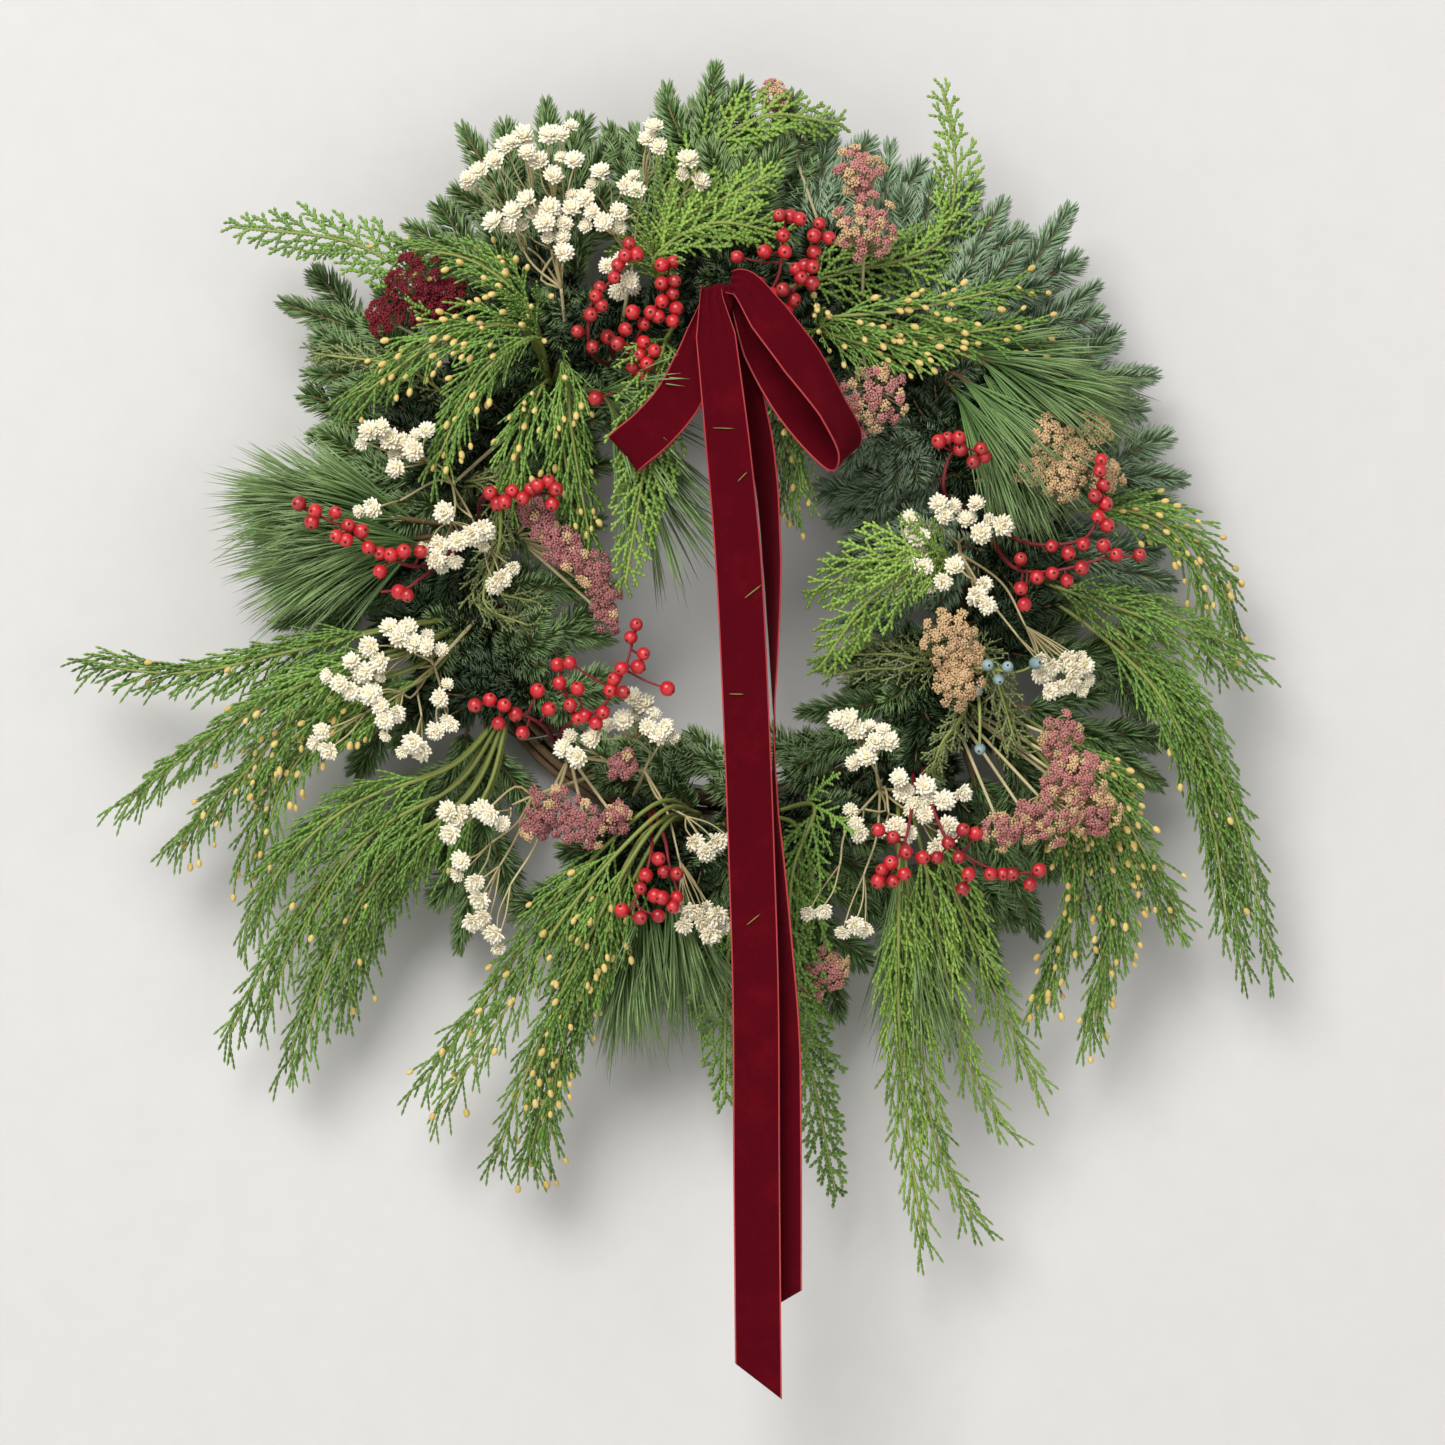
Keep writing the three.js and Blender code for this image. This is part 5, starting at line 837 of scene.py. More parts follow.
def undergrowth(heap, at, rng):
    """Short fir twigs over the bound stems round a bunch's root, pointing outward and aside, in the dark
    needle colours that paint the shade there.
    """
    middle = math.atan2(at[1], at[0])
    for k in range(UNDERGROWTH["count"]):
        share = (k + 0.5) / UNDERGROWTH["count"] - 0.5
        angle = middle + 2 * share * UNDERGROWTH["spread"]
        radius = rng.uniform(*UNDERGROWTH["radius"])
        root = spot([radius * math.cos(angle), radius * math.sin(angle), HUB_DEPTH])
        turn = angle + rng.uniform(-1.4, 1.4)
        reach = rng.uniform(*UNDERGROWTH["length"])
        tip = root + np.array([math.cos(turn), 0, math.sin(turn)]) * reach
        tip[1] = -rng.uniform(*UNDERGROWTH["depth"])
        short_fir(heap, root, tip, rng, PAINTED_SHADE_TONE, finish=2)


def dress_greens(node, look, colour, at, seed, cones, companions, stems):
    """A bunch of fir, pine, cedar or juniper: its stems, their companions and what fills it."""
    rng = np.random.default_rng(seed)
    heap = Heap()
    run = [*stems]
    for stem in stems:
        run += [beside(stem, rng, 7, -5 - 5 * i) for i in range(companions)]
    for stem, cone_share in zip(run, np.resize(cones, len(run))):
        spots = stem_spots(at, stem)
        if look == "fir":
            fir_branch(heap, spots, rng, tone=rng.uniform(0.4, 0.6))
        elif look == "pine":
            pine_tuft(heap, spots, rng)
        else:
            frond(heap, spots, look, rng, cones=cone_share, tilt=rng.uniform(-0.5, 0.5))
    for root, tip in INNER_FIR.get(node, ()):
        short_fir(heap, spot([*root, HUB_DEPTH]), spot(tip), rng, INNER_TONE)
    if look == "fir":
        undergrowth(heap, at, rng)
    finish = "blue_fir" if node in BLUE_FIRS else colour
    bark = "twig" if look in ("fir", "pine") else "green_twig"
    # a fir bunch's third finish is painted shade: dark needles for its undergrowth
    third = "painted_shade_fir" if look == "fir" else "male_cone"
    return dress(heap, node, finishes(finish, bark, third))


# ---- berries -----------------------------------------------------------------------------------

# name: root, seed, strands (places of the branch), berries (x, z)
BERRIES = {
    "berries_bow_left": ([-62, 108], 11, [
        [[-76, 116, 96], [-74, 140, 104], [-58, 158, 106], [-53, 173, 102]],
        [[-52, 118, 98], [-42, 134, 106], [-34, 148, 106], [-32, 163, 102]],
        [[-64, 122, 98], [-54, 116, 106], [-44, 108, 106], [-48, 98, 102]]], [
        (-54, 172), (-50, 166), (-56, 165), (-60, 160), (-62, 153), (-70, 148), (-72, 143), (-69, 138),
        (-75, 133), (-82, 124), (-74, 116), (-30, 162), (-36, 160), (-36, 150), (-29, 151), (-30, 144),
        (-36, 140), (-28, 136), (-42, 134), (-38, 132), (-30, 129), (-46, 128), (-52, 134), (-66, 122),
        (-60, 117), (-56, 125), (-46, 118), (-48, 111), (-40, 113), (-52, 104), (-44, 106), (-48, 100),
        (-72, 87)]),
    "berries_bow_right": ([38, 134], 12, [
        [[22, 142, 96], [28, 156, 104], [30, 174, 106], [32, 188, 102]],
        [[34, 144, 96], [42, 156, 104], [48, 170, 104], [52, 184, 100]]], [
        (28, 187), (34, 187), (39, 185), (50, 183), (47, 176), (55, 175), (30, 176), (20, 167),
        (31, 167), (47, 167), (5, 164), (42, 160), (46, 159), (37, 158), (40, 153), (24, 145),
        (17, 150), (36, 142), (32, 136), (46, 150), (30, 147)]),
    "berries_left": ([-140, 14], 13, [
        [[-172, -4, 92], [-190, 4, 102], [-212, 18, 106], [-236, 29, 102]],
        [[-168, -10, 92], [-176, -16, 98], [-190, -18, 98]],
        [[-132, 36, 92], [-116, 34, 98], [-96, 36, 98]]], [
        (-234, 30), (-227, 20), (-225, 26), (-214, 25), (-213, 12), (-207, 18), (-208, 10), (-200, 15),
        (-196, 6), (-190, 3), (-184, 2), (-190, -7), (-177, 4), (-168, 4), (-175, -20), (-180, -18),
        (-130, 36), (-126, 30), (-122, 31), (-118, 37), (-112, 33), (-108, 38), (-104, 40), (-98, 42),
        (-94, 38), (-96, 30)]),
    "berries_lower_left": ([-96, -100], 15, [
        [[-106, -88, 96], [-120, -82, 104], [-139, -78, 104]],
        [[-84, -88, 96], [-70, -82, 104], [-58, -64, 106], [-50, -38, 102]]], [
        (-138, -80), (-130, -77), (-122, -80), (-116, -85), (-112, -95), (-104, -72), (-98, -82),
        (-125, -90), (-50, -36), (-53, -43), (-46, -52), (-49, -59), (-58, -60), (-62, -66), (-57, -73),
        (-64, -72), (-82, -71), (-93, -58), (-86, -57), (-92, -68), (-86, -80), (-78, -86), (-68, -84),
        (-72, -90), (-82, -87), (-33, -71)]),
    "berries_bottom": ([-44, -132], 16, [
        [[-34, -156, 92], [-32, -168, 98], [-26, -186, 98]],
        [[-42, -160, 92], [-46, -176, 98], [-54, -194, 98]]], [
        (-38, -164), (-35, -171), (-28, -172), (-45, -173), (-48, -180), (-40, -184), (-36, -185),
        (-28, -185), (-30, -190), (-38, -195), (-48, -196), (-58, -192)]),
    "berries_right": ([140, 24], 17, [
        [[170, 8, 92], [196, 12, 100], [204, 32, 102], [203, 54, 100]],
        [[160, -6, 92], [182, -6, 100], [204, 0, 102], [228, 2, 100]],
        [[118, 40, 92], [124, 60, 98], [140, 58, 98]]], [
        (115, 64), (120, 66), (126, 66), (127, 60), (138, 60), (140, 56), (134, 53), (204, 54),
        (203, 48), (205, 40), (200, 34), (206, 30), (202, 23), (207, 18), (177, 7), (186, 3), (194, 8),
        (205, 7), (212, 2), (225, 2), (193, -5), (185, -12), (177, -8), (169, -10), (160, -16),
        (162, -25), (160, 0)]),
    "berries_lower_right": ([104, -96], 18, [
        [[100, -140, 96], [96, -156, 104], [86, -176, 102]],
        [[112, -136, 96], [122, -156, 104], [146, -170, 104], [172, -172, 98]]], [
        (82, -148), (90, -152), (97, -160), (89, -166), (96, -172), (84, -170), (90, -176), (82, -176),
        (106, -163), (114, -163), (128, -148), (135, -150), (120, -155), (126, -163), (131, -172),
        (128, -180), (143, -172), (150, -172), (155, -172), (165, -178), (170, -170)]),
    "juniper_berries": ([132, -44], 19, [
        [[130, -58, 86], [142, -60, 94], [157, -62, 94]], [[138, -80, 86], [138, -106, 90]]], [
        (142, -58), (153, -59), (137, -72), (168, -57), (138, -104), (148, -66)]),
}


BERRY_LIFTS = (4.6, 1.5)          # how far every other berry stands in front of its branch
BERRY_STEM = (1.5, 0.8)
BERRY_STALK = (0.75, 0.6)


def dress_berries(node, root, seed, strands, berries):
    """Branches with a stalked berry at each place, tied to the nearest point of a branch."""
    rng = np.random.default_rng(seed)
    heap = Heap()
    is_blue = node == "juniper_berries"
    radius = BLUE_BERRY_RADIUS if is_blue else BERRY_RADIUS
    lines = [smooth_line(stem_spots(root, strand), 3.0) for strand in strands]
    for line in lines:
        heap.tube(line, BERRY_STEM, 6, 0.5, 1)
    branch = np.vstack([line[len(line) // 2:] for line in lines])
    for number, (x, z) in enumerate(berries):
        gaps = np.hypot(branch[:, 0] - x, branch[:, 2] - z)
        foot = branch[int(np.argmin(gaps))]
        centre = np.array([x, foot[1] - BERRY_LIFTS[number % 2] - 0.5 * min(gaps.min(), 8), z])
        size = radius * rng.uniform(0.9, 1.06)
        stalk = smooth_line([foot, foot * 0.5 + centre * 0.5 + [0, 0, -1.0], centre], 1.5)
        heap.tube(stalk, BERRY_STALK, 5, 0.5, 1)
        way = unit(centre - foot + np.array([0, -3.0, -1.5]) + rng.normal(0, 2.0, 3))
        turn = unit(rng.normal(0, 1, 3))
        tint = np.array([rng.uniform(0.25, 0.85)])
        for shape, finish in (("berry", 0), ("calyx", 2)):
            heap.scatter(shape, centre[None], way[None], turn[None], np.full((1, 3), size), tint, finish)
    names = ("blueberry", "green_twig", "calyx") if is_blue else ("berry", "berry_stem", "calyx")
    return dress(heap, node, finishes(*names))


# ---- dried flowers -----------------------------------------------------------------------------

# name: root, seed, where the stems fork, flowers (x, z)
FLOWERS = {
    "flowers_top_left": ([-88, 108], 21, [-92, 150, 72], [
        (-142, 208), (-128, 218), (-122, 226), (-118, 228), (-110, 222), (-104, 218), (-98, 232),
        (-92, 232), (-84, 218), (-96, 210), (-128, 184), (-118, 190), (-106, 188), (-98, 192),
        (-86, 192), (-90, 184), (-90, 168), (-136, 212), (-112, 232), (-110, 196), (-100, 184)]),
    "flowers_top": ([-60, 126], 22, [-52, 166, 72], [
        (-70, 212), (-40, 236), (-38, 226), (-22, 218), (-16, 207), (-74, 190), (-68, 184), (-56, 204),
        (-50, 202), (-66, 160), (-54, 152), (-60, 147), (-44, 230), (-60, 190), (-78, 198)]),
    "flowers_left": ([-118, 74], 23, [-152, 42, 72], [
        (-196, 70), (-190, 72), (-185, 66), (-178, 64), (-172, 60), (-165, 70), (-182, 50), (-158, 8),
        (-148, 10), (-140, 14), (-134, 16), (-160, 0), (-150, 0), (-155, 26), (-124, -10), (-128, -14),
        (-194, 28)]),
    "flowers_left_low": ([-138, -30], 24, [-162, -58, 72], [
        (-185, -38), (-175, -38), (-172, -46), (-196, -48), (-206, -56), (-200, -62), (-212, -68),
        (-206, -72), (-190, -56), (-165, -48), (-190, -80), (-182, -84), (-188, -88), (-222, -94),
        (-218, -104), (-158, -76), (-152, -90), (-160, -94), (-172, -100), (-168, -104), (-180, -42),
        (-196, -74)]),
    "flowers_low_left": ([-72, -118], 25, [-108, -130, 70], [
        (-153, -138), (-148, -142), (-152, -150), (-135, -137), (-130, -140), (-146, -165),
        (-138, -176), (-136, -186), (-134, -195), (-140, -198), (-128, -205)]),
    "flowers_middle_low": ([-52, -130], 26, [-46, -116, 70], [
        (-58, -88), (-52, -76), (-46, -80), (-38, -96), (-34, -92), (-74, -98), (-90, -104),
        (-82, -108), (-6, -155), (-12, -160), (-18, -155), (-20, -192), (-24, -200), (-10, -205),
        (-6, -195), (-44, -92), (-14, -198)]),
    "flowers_right": ([140, -20], 27, [128, 4, 72], [
        (100, -2), (104, 2), (96, -10), (92, -14), (108, -4), (100, 22), (105, 12), (118, 24),
        (116, 30), (136, 30), (138, 14), (150, 18), (118, -12), (136, -20), (142, -25), (185, -55),
        (178, -58), (172, -62), (190, -60), (196, -58), (182, -70), (176, -72), (130, 22), (124, -4),
        (188, -66)]),
    "flowers_low_right": ([86, -118], 28, [84, -126, 70], [
        (60, -88), (66, -88), (70, -94), (80, -100), (88, -100), (76, -108), (94, -120), (96, -128),
        (108, -125), (118, -132), (128, -128), (108, -140), (120, -152), (114, -158), (92, -146),
        (98, -150), (70, -145), (72, -150), (70, -200), (75, -202), (52, -192), (102, -134),
        (120, -146)]),
}
# Petals in a row, their length of the flower's radius, degrees that they open, half width
PETAL_ROWS = ((15, 0.98, 74, 0.2), (13, 0.84, 52, 0.22), (10, 0.62, 30, 0.25))
FLOWER_DEPTH = (88, 98)
BUD_AWAY = 8                      # a smaller flower's place beside a larger one, and its size
BUD_BEHIND = 5
BUD_SHARE = 0.74


def flower(heap, centre, way, share, rng):
    """A papery everlasting: three rows of pointed petals round a small domed centre."""
    radius = FLOWER_RADIUS * share * rng.uniform(0.8, 1.05)
    turn = unit(np.cross(way, DOWN + 0.1))
    other = np.cross(way, turn)
    for count, reach, open_angle, width in PETAL_ROWS:
        angle = 2 * np.pi * (np.arange(count) + rng.random()) / count
        out = np.cos(angle)[:, None] * turn + np.sin(angle)[:, None] * other
        lean = np.radians(open_angle + rng.normal(0, 7, count))[:, None]
        z_ways = np.sin(lean) * out + np.cos(lean) * way
        length = radius * reach * rng.uniform(0.86, 1.08, count)
        wide = np.full(count, radius * width)
        sizes = np.stack([wide, wide * 0.9, length], axis=1)
        bends = (-out * 0.12 + way * 0.1) * length[:, None]
        heap.scatter("petal", np.repeat(centre[None], count, axis=0), z_ways,
                     np.repeat(way[None], count, axis=0), sizes, rng.uniform(0.3, 1, count), 0, bends)
    size = radius * 0.3
    heap.scatter("disc", (centre + way * radius * 0.1)[None], way[None], turn[None],
                 np.full((1, 3), size), np.array([rng.random()]), 2)


GROUP_REACH = 19.0                # flowers this near to each other share a side stem


def gathered(flowers):
    """The flowers in groups, each round the first of its own that isn't in a group yet."""
    groups = []
    for place in flowers:
        near = [g for g in groups if math.dist(g[0], place) < GROUP_REACH]
        if near:
            near[0].append(place)
        else:
            groups.append([place])
    return groups


def with_buds(flowers, rng):
    """The flowers and, beside every other one, a smaller one a little behind it."""
    made = [(x, z, rng.uniform(*FLOWER_DEPTH), 1.0) for x, z in flowers]
    for x, z, depth, _ in made[::2]:
        angle = rng.uniform(0, 2 * math.pi)
        bud_x, bud_z = x + BUD_AWAY * math.cos(angle), z + BUD_AWAY * math.sin(angle)
        made.append((bud_x, bud_z, depth - BUD_BEHIND, BUD_SHARE))
    return made


def dress_flowers(node, root, seed, fork, flowers):
    """A spray that forks once: thin side stems, each with a group of flowers and buds."""
    rng = np.random.default_rng(seed)
    heap = Heap()
    start = spot([*root, HUB_DEPTH])
    middle = spot(fork)
    heap.tube(smooth_line([start, start + FRONT * 12, middle], 4.0), (1.4, 1.0), 6, 0.5, 1)
    for group in gathered(flowers):
        heads = with_buds(group, rng)
        centre = np.mean([spot(head[:3]) for head in heads], axis=0)
        knuckle = centre * 0.62 + middle * 0.38 - FRONT * 8
        bow = (middle + knuckle) / 2 + rng.normal(0, 4.0, 3) - FRONT * 4
        heap.tube(smooth_line([middle, bow, knuckle], 4.0), (0.8, 0.6), 5, rng.random(), 1)
        for x, z, depth, size in heads:
            end = spot([x, z, depth])
            way = unit(FRONT * 1.3 + unit(end - knuckle) + rng.normal(0, 0.25, 3))
            half_way = (knuckle + end) / 2 + rng.normal(0, 1.5, 3)
            stem = smooth_line([knuckle, half_way, end - way * 3, end], 3.0)
            heap.tube(stem, (0.55, 0.4), 4, rng.random(), 1)
            flower(heap, end, way, size, rng)
    return dress(heap, node, finishes("petal", "dry_stem", "flower_disc"))


# name: colour, root, seed, heads (x, z, depth, radius)
HEADS = {
    "head_burgundy": ("burgundy", [-112, 92], 31, [
        (-172, 154, 78, 17), (-190, 134, 76, 10), (-156, 146, 74, 11), (-166, 140, 76, 12)]),
    "head_pink_bow": ("pink", [74, 119], 32, [
        (72, 214, 80, 14), (75, 182, 92, 19), (26, 258, 54, 9), (80, 88, 94, 19), (66, 68, 86, 10)]),
    "head_mauve_left": ("mauve", [-118, 14], 34, [
        (-106, 26, 82, 8), (-99, 17, 86, 8), (-92, 8, 92, 10), (-84, 0, 92, 9), (-74, -8, 92, 10),
        (-68, -20, 90, 9), (-66, -32, 88, 7)]),
    "head_beige_right": ("beige", [134, 44], 35, [
        (178, 66, 86, 13), (202, 72, 84, 9), (184, 44, 88, 12), (208, 46, 82, 9), (168, 48, 84, 9),
        (192, 58, 86, 10)]),
    "head_beige_middle": ("beige", [138, -36], 36, [
        (122, -44, 92, 16), (126, -68, 88, 14), (130, -54, 88, 12)]),
    "head_pink_large": ("pink", [120, -74], 37, [
        (182, -98, 90, 13), (196, -118, 94, 14), (180, -140, 96, 17), (202, -138, 90, 13),
        (150, -148, 88, 11), (184, -120, 90, 12), (166, -144, 90, 11)]),
    "head_mauve_low": ("mauve", [-88, -108], 38, [
        (-96, -136, 90, 14), (-78, -146, 92, 13), (-62, -142, 88, 8), (-58, -112, 88, 8),
        (-106, -146, 86, 8)]),
    "head_pink_low": ("pink", [40, -134], 39, [(56, -226, 66, 12), (44, -236, 62, 8)]),
}


FLORETS = 17                      # on each cushion
CUSHION = 3.0                     # its radius
CUSHIONS_PER_MM = 1.75            # of a head's radius
FEWEST_CUSHIONS = 7
FLORET_LENGTH = (1.3, 2.1)
FLORET_SHARE = 0.56               # half its width, of its length
GOLDEN_TURN = 2.4                 # radians from one to the next, which spreads them evenly
PALE_SHARE = {"pink": 0.55, "mauve": 0.2, "burgundy": 0.0, "beige": 1.0}


def cushion(heap, top, way, finish, rng):
    """A small domed cushion of florets at the end of its stalk."""
    turn = unit(np.cross(way, DOWN + 0.05))
    other = np.cross(way, turn)
    ring = np.sqrt((np.arange(FLORETS) + 0.5) / FLORETS)
    spin = GOLDEN_TURN * np.arange(FLORETS) + rng.random()
    spread = CUSHION * ring * rng.uniform(0.85, 1.2, FLORETS)
    flat = (np.cos(spin) * spread)[:, None] * turn + (np.sin(spin) * spread)[:, None] * other
    out = unit(way + flat * 0.26)
    origins = top + flat + way * (1.5 * (1 - ring ** 2))[:, None]
    long = rng.uniform(*FLORET_LENGTH, FLORETS)
    sizes = np.stack([long * FLORET_SHARE, long * FLORET_SHARE, long], axis=1)
    tints = np.clip(rng.normal(rng.uniform(0.2, 0.8), 0.15, FLORETS), 0, 1)
    heap.scatter("floret", origins - out, out, np.repeat(turn[None], FLORETS, axis=0), sizes, tints,
                 finish)


def floret_head(heap, foot, centre, radius, pale, rng):
    """A domed head: branched stalks that each carry a cushion, the pale ones at its rim."""
    count = max(FEWEST_CUSHIONS, int(radius * CUSHIONS_PER_MM))
    for k in range(count):
        share = math.sqrt((k + 0.5) / count)
        angle = GOLDEN_TURN * k + rng.uniform(-0.3, 0.3)
        across = np.array([math.cos(angle), 0.0, math.sin(angle)]) * share * radius * 0.95
        top = centre + across + FRONT * radius * 0.5 * (1 - share ** 2) + rng.normal(0, 1.0, 3)
        stalk = smooth_line([foot, foot * 0.45 + top * 0.55 + across * 0.15, top], 3.0)
        heap.tube(stalk, (0.65, 0.45), 4, rng.random(), 1)
        finish = 2 if rng.random() < pale * share else 0
        cushion(heap, top, unit(top - foot + across * 0.4 + FRONT * 4), finish, rng)


def dress_heads(node, colour, root, seed, heads):
    """Dried flower heads, each at the end of its own stem."""
    rng = np.random.default_rng(seed)
    heap = Heap()
    start = spot([*root, HUB_DEPTH])
    for x, z, depth, radius in heads:
        centre = spot([x, z, depth])
        foot = centre - unit(centre - start + FRONT * 30) * radius * 1.15
        lift = start + FRONT * 14 + (foot - start) * 0.2
        heap.tube(smooth_line([start, lift, foot], 5.0), (1.2, 0.9), 6, 0.5, 1)
        floret_head(heap, foot, centre, radius, PALE_SHARE[colour], rng)
    return dress(heap, node, finishes(colour, "dry_stem", "beige"))


# ---- ribbon ------------------------------------------------------------------------------------

# Rows along each strip: x, z, depth, width as a share of the ribbon, angle from the picture plane
# in degrees (None carries the last one on)
RIBBONS = {
    "ribbon_tail_front": [
        [-9, 147, 123, 0.42, 0], [-9, 140, 130, 0.5, 0], [-6.6, 120, 131, 0.86, 6],
        [0, 60, 129, 0.96, 4], [5.5, 0, 127, 1, 0], [10, -90, 127, 1, 0], [13, -170, 127, 1, 0],
        [15, -240, 126, 1, 0], [15.5, -330, 125, 1, 0], [16.5, -447, 124, 1, 0]],
    "ribbon_tail_back": [
        [3.2, 137, 114.6, 0.4, -8], [10, 95, 100, 0.9, 40], [20, 50, 104, 1, 62], [24, 0, 108, 1, 66],
        [25, -45, 110, 1, 80], [25, -90, 110, 1, 90], [25.5, -140, 110, 1, 82], [27, -200, 111, 1, 55],
        [28, -270, 112, 1, 25], [27.7, -340, 113, 1, 8], [27.6, -406, 113, 1, 0]],
    "ribbon_loop_left": [
        [-9, 139, 118, 0.45, 0], [-13, 122, 123, 0.75, None], [-19, 103, 125, 0.95, None],
        [-28, 85, 126, 1, None], [-42, 69, 126, 1, None], [-53, 60, 123.5, 1, None],
        [-57, 56.5, 119, 1, None], [-53, 59, 114.5, 1, None], [-41, 70, 112, 1, None],
        [-27, 87, 112, 1, None], [-17, 105, 112, 0.85, None], [-8, 134, 115, 0.45, None]],
    "ribbon_loop_right": [
        [1, 149, 127, 0.5, -20], [8, 148, 133, 0.66, -15], [22, 130, 136, 0.9, -15],
        [40, 106, 137, 1, -25], [57, 80, 135, 1, -48], [66, 62, 128, 1, None], [64, 54, 120, 1, None],
        [54, 62, 114, 1, None], [36, 84, 110, 1, None], [18, 114, 114, 0.9, None],
        [5, 146, 119, 0.45, None]],
}
KNOT_CENTRE = [-4, 140, 121]
KNOT_SIZE = np.array([15, 13, 18])
RIBBON_CUTS = {"ribbon_tail_front": TAIL_CUT["front"], "ribbon_tail_back": TAIL_CUT["back"]}
RIBBON_STEP = 2.0
ACROSS_STEPS = 16
RIPPLE = 2.3                      # half height of the folds where a strip is gathered
CUP = 0.5                         # how hollow it is across elsewhere
SWAY = 0.35                       # its slow turn from side to side, and that turn's length
SWAY_LENGTH = 17.0
SKIN_SHARE = 0.42                 # of its thickness, from its middle to each side
KNOT_MESH = (25, 40)              # rows and columns
KNOT_FOLDS = 9
KNOT_FOLD_DEPTH = 0.05


def turned(vector, axis, degrees):
    """A vector turned about a unit axis."""
    angle = math.radians(degrees)
    return (vector * math.cos(angle) + np.cross(axis, vector) * math.sin(angle)
            + axis * np.dot(axis, vector) * (1 - math.cos(angle)))


def ribbon_frames(rows):
    """Middle points of a strip with its width's direction and share."""
    spots = [spot(row[:3]) for row in rows]
    line = smooth_line(spots, RIBBON_STEP)
    tangents = ways(line)
    marks = np.array([int(np.argmin(np.linalg.norm(line - s, axis=1))) for s in spots], float)
    at = np.interp(np.arange(len(line)), marks, np.arange(len(rows)))
    shares = np.interp(at, np.arange(len(rows)), [row[3] for row in rows])
    across, carried = [], None
    for k, tangent in enumerate(tangents):
        low = min(int(at[k]), len(rows) - 2)
        first, second = rows[low][4], rows[low + 1][4]
        if carried is None or (first is not None and second is not None):
            degrees = first if second is None else first + (second - first) * (at[k] - low)
            carried = turned(unit(np.array([tangent[2], 0.0, -tangent[0]])), tangent, degrees)
        carried = unit(carried - tangent * np.dot(carried, tangent))
        across.append(carried)
    return line, tangents, np.array(across), shares


def ribbon_surface(line, tangents, across, shares, cut):
    """The ribbon's middle surface, row by row along it: ripples where it is gathered, a slight
    cup across it elsewhere, and a slanting cut at its end."""
    normals = np.cross(tangents, across)
    edge = SELVEDGE / RIBBON_WIDTH
    inner = np.linspace(-0.5 + edge, 0.5 - edge, ACROSS_STEPS - 1)
    v = np.array([-0.5, *inner, 0.5])
    gather = (1 - shares)[:, None]
    ripple = gather * RIPPLE * np.cos(v * 6 * np.pi) + CUP * np.cos(v * np.pi) * (1 - gather)
    along = np.arange(len(line))[:, None]
    sway = SWAY * np.sin(along * RIBBON_STEP / SWAY_LENGTH) * np.sin(v * 2.6)
    slant = (along / along[-1]) ** 60 * cut * v * 2
    wide = (v * RIBBON_WIDTH * shares[:, None])[..., None] * across[:, None]
    return (line[:, None] + wide + normals[:, None] * (ripple + sway)[..., None]
            + tangents[:, None] * slant[..., None], normals)


def ribbon_faces(count, wide):
    """Faces of a strip with two skins of count rows: its pile, and its woven edges and ends."""
    under = count * wide
    k, j = np.meshgrid(np.arange(count - 1), np.arange(wide - 1), indexing="ij")
    a = (k * wide + j).ravel()
    upper = np.stack([a, a + 1, a + 1 + wide, a + wide], axis=1)
    lower = upper[:, ::-1] + under
    is_edge = ((j == 0) | (j == wide - 2)).ravel()
    rims = []
    for start, step, number in ((0, wide, count - 1), (wide - 1, wide, count - 1),
                                (0, 1, wide - 1), ((count - 1) * wide, 1, wide - 1)):
        a = start + step * np.arange(number)
        rim = np.stack([a, a + step, a + step + under, a + under], axis=1)
        is_turned = start == wide - 1 or (start == 0 and step == 1)
        rims.append(rim[:, ::-1] if is_turned else rim)
    return [np.concatenate([upper[~is_edge], lower[~is_edge]]),
            np.concatenate([upper[is_edge], lower[is_edge], *rims])]


def dress_ribbon(node):
    """A strip of velvet with its thickness and its woven edges."""
    line, tangents, across, shares = ribbon_frames(RIBBONS[node])
    middle, normals = ribbon_surface(line, tangents, across, shares, RIBBON_CUTS.get(node, 0.0))
    count, wide = middle.shape[:2]
    half = normals[:, None] * RIBBON_THICK * SKIN_SHARE
    points = np.concatenate([(middle - half).reshape(-1, 3), (middle + half).reshape(-1, 3)])
    along = np.tile(np.repeat(np.linspace(0, 1, count), wide), 2)
    marks = np.stack([np.full(len(points), 0.5), along], axis=1)
    heap = Heap()
    heap.add(points, ribbon_faces(count, wide), marks, (0, 1))
    piece = dress(heap, node, finishes("velvet", "selvedge"))


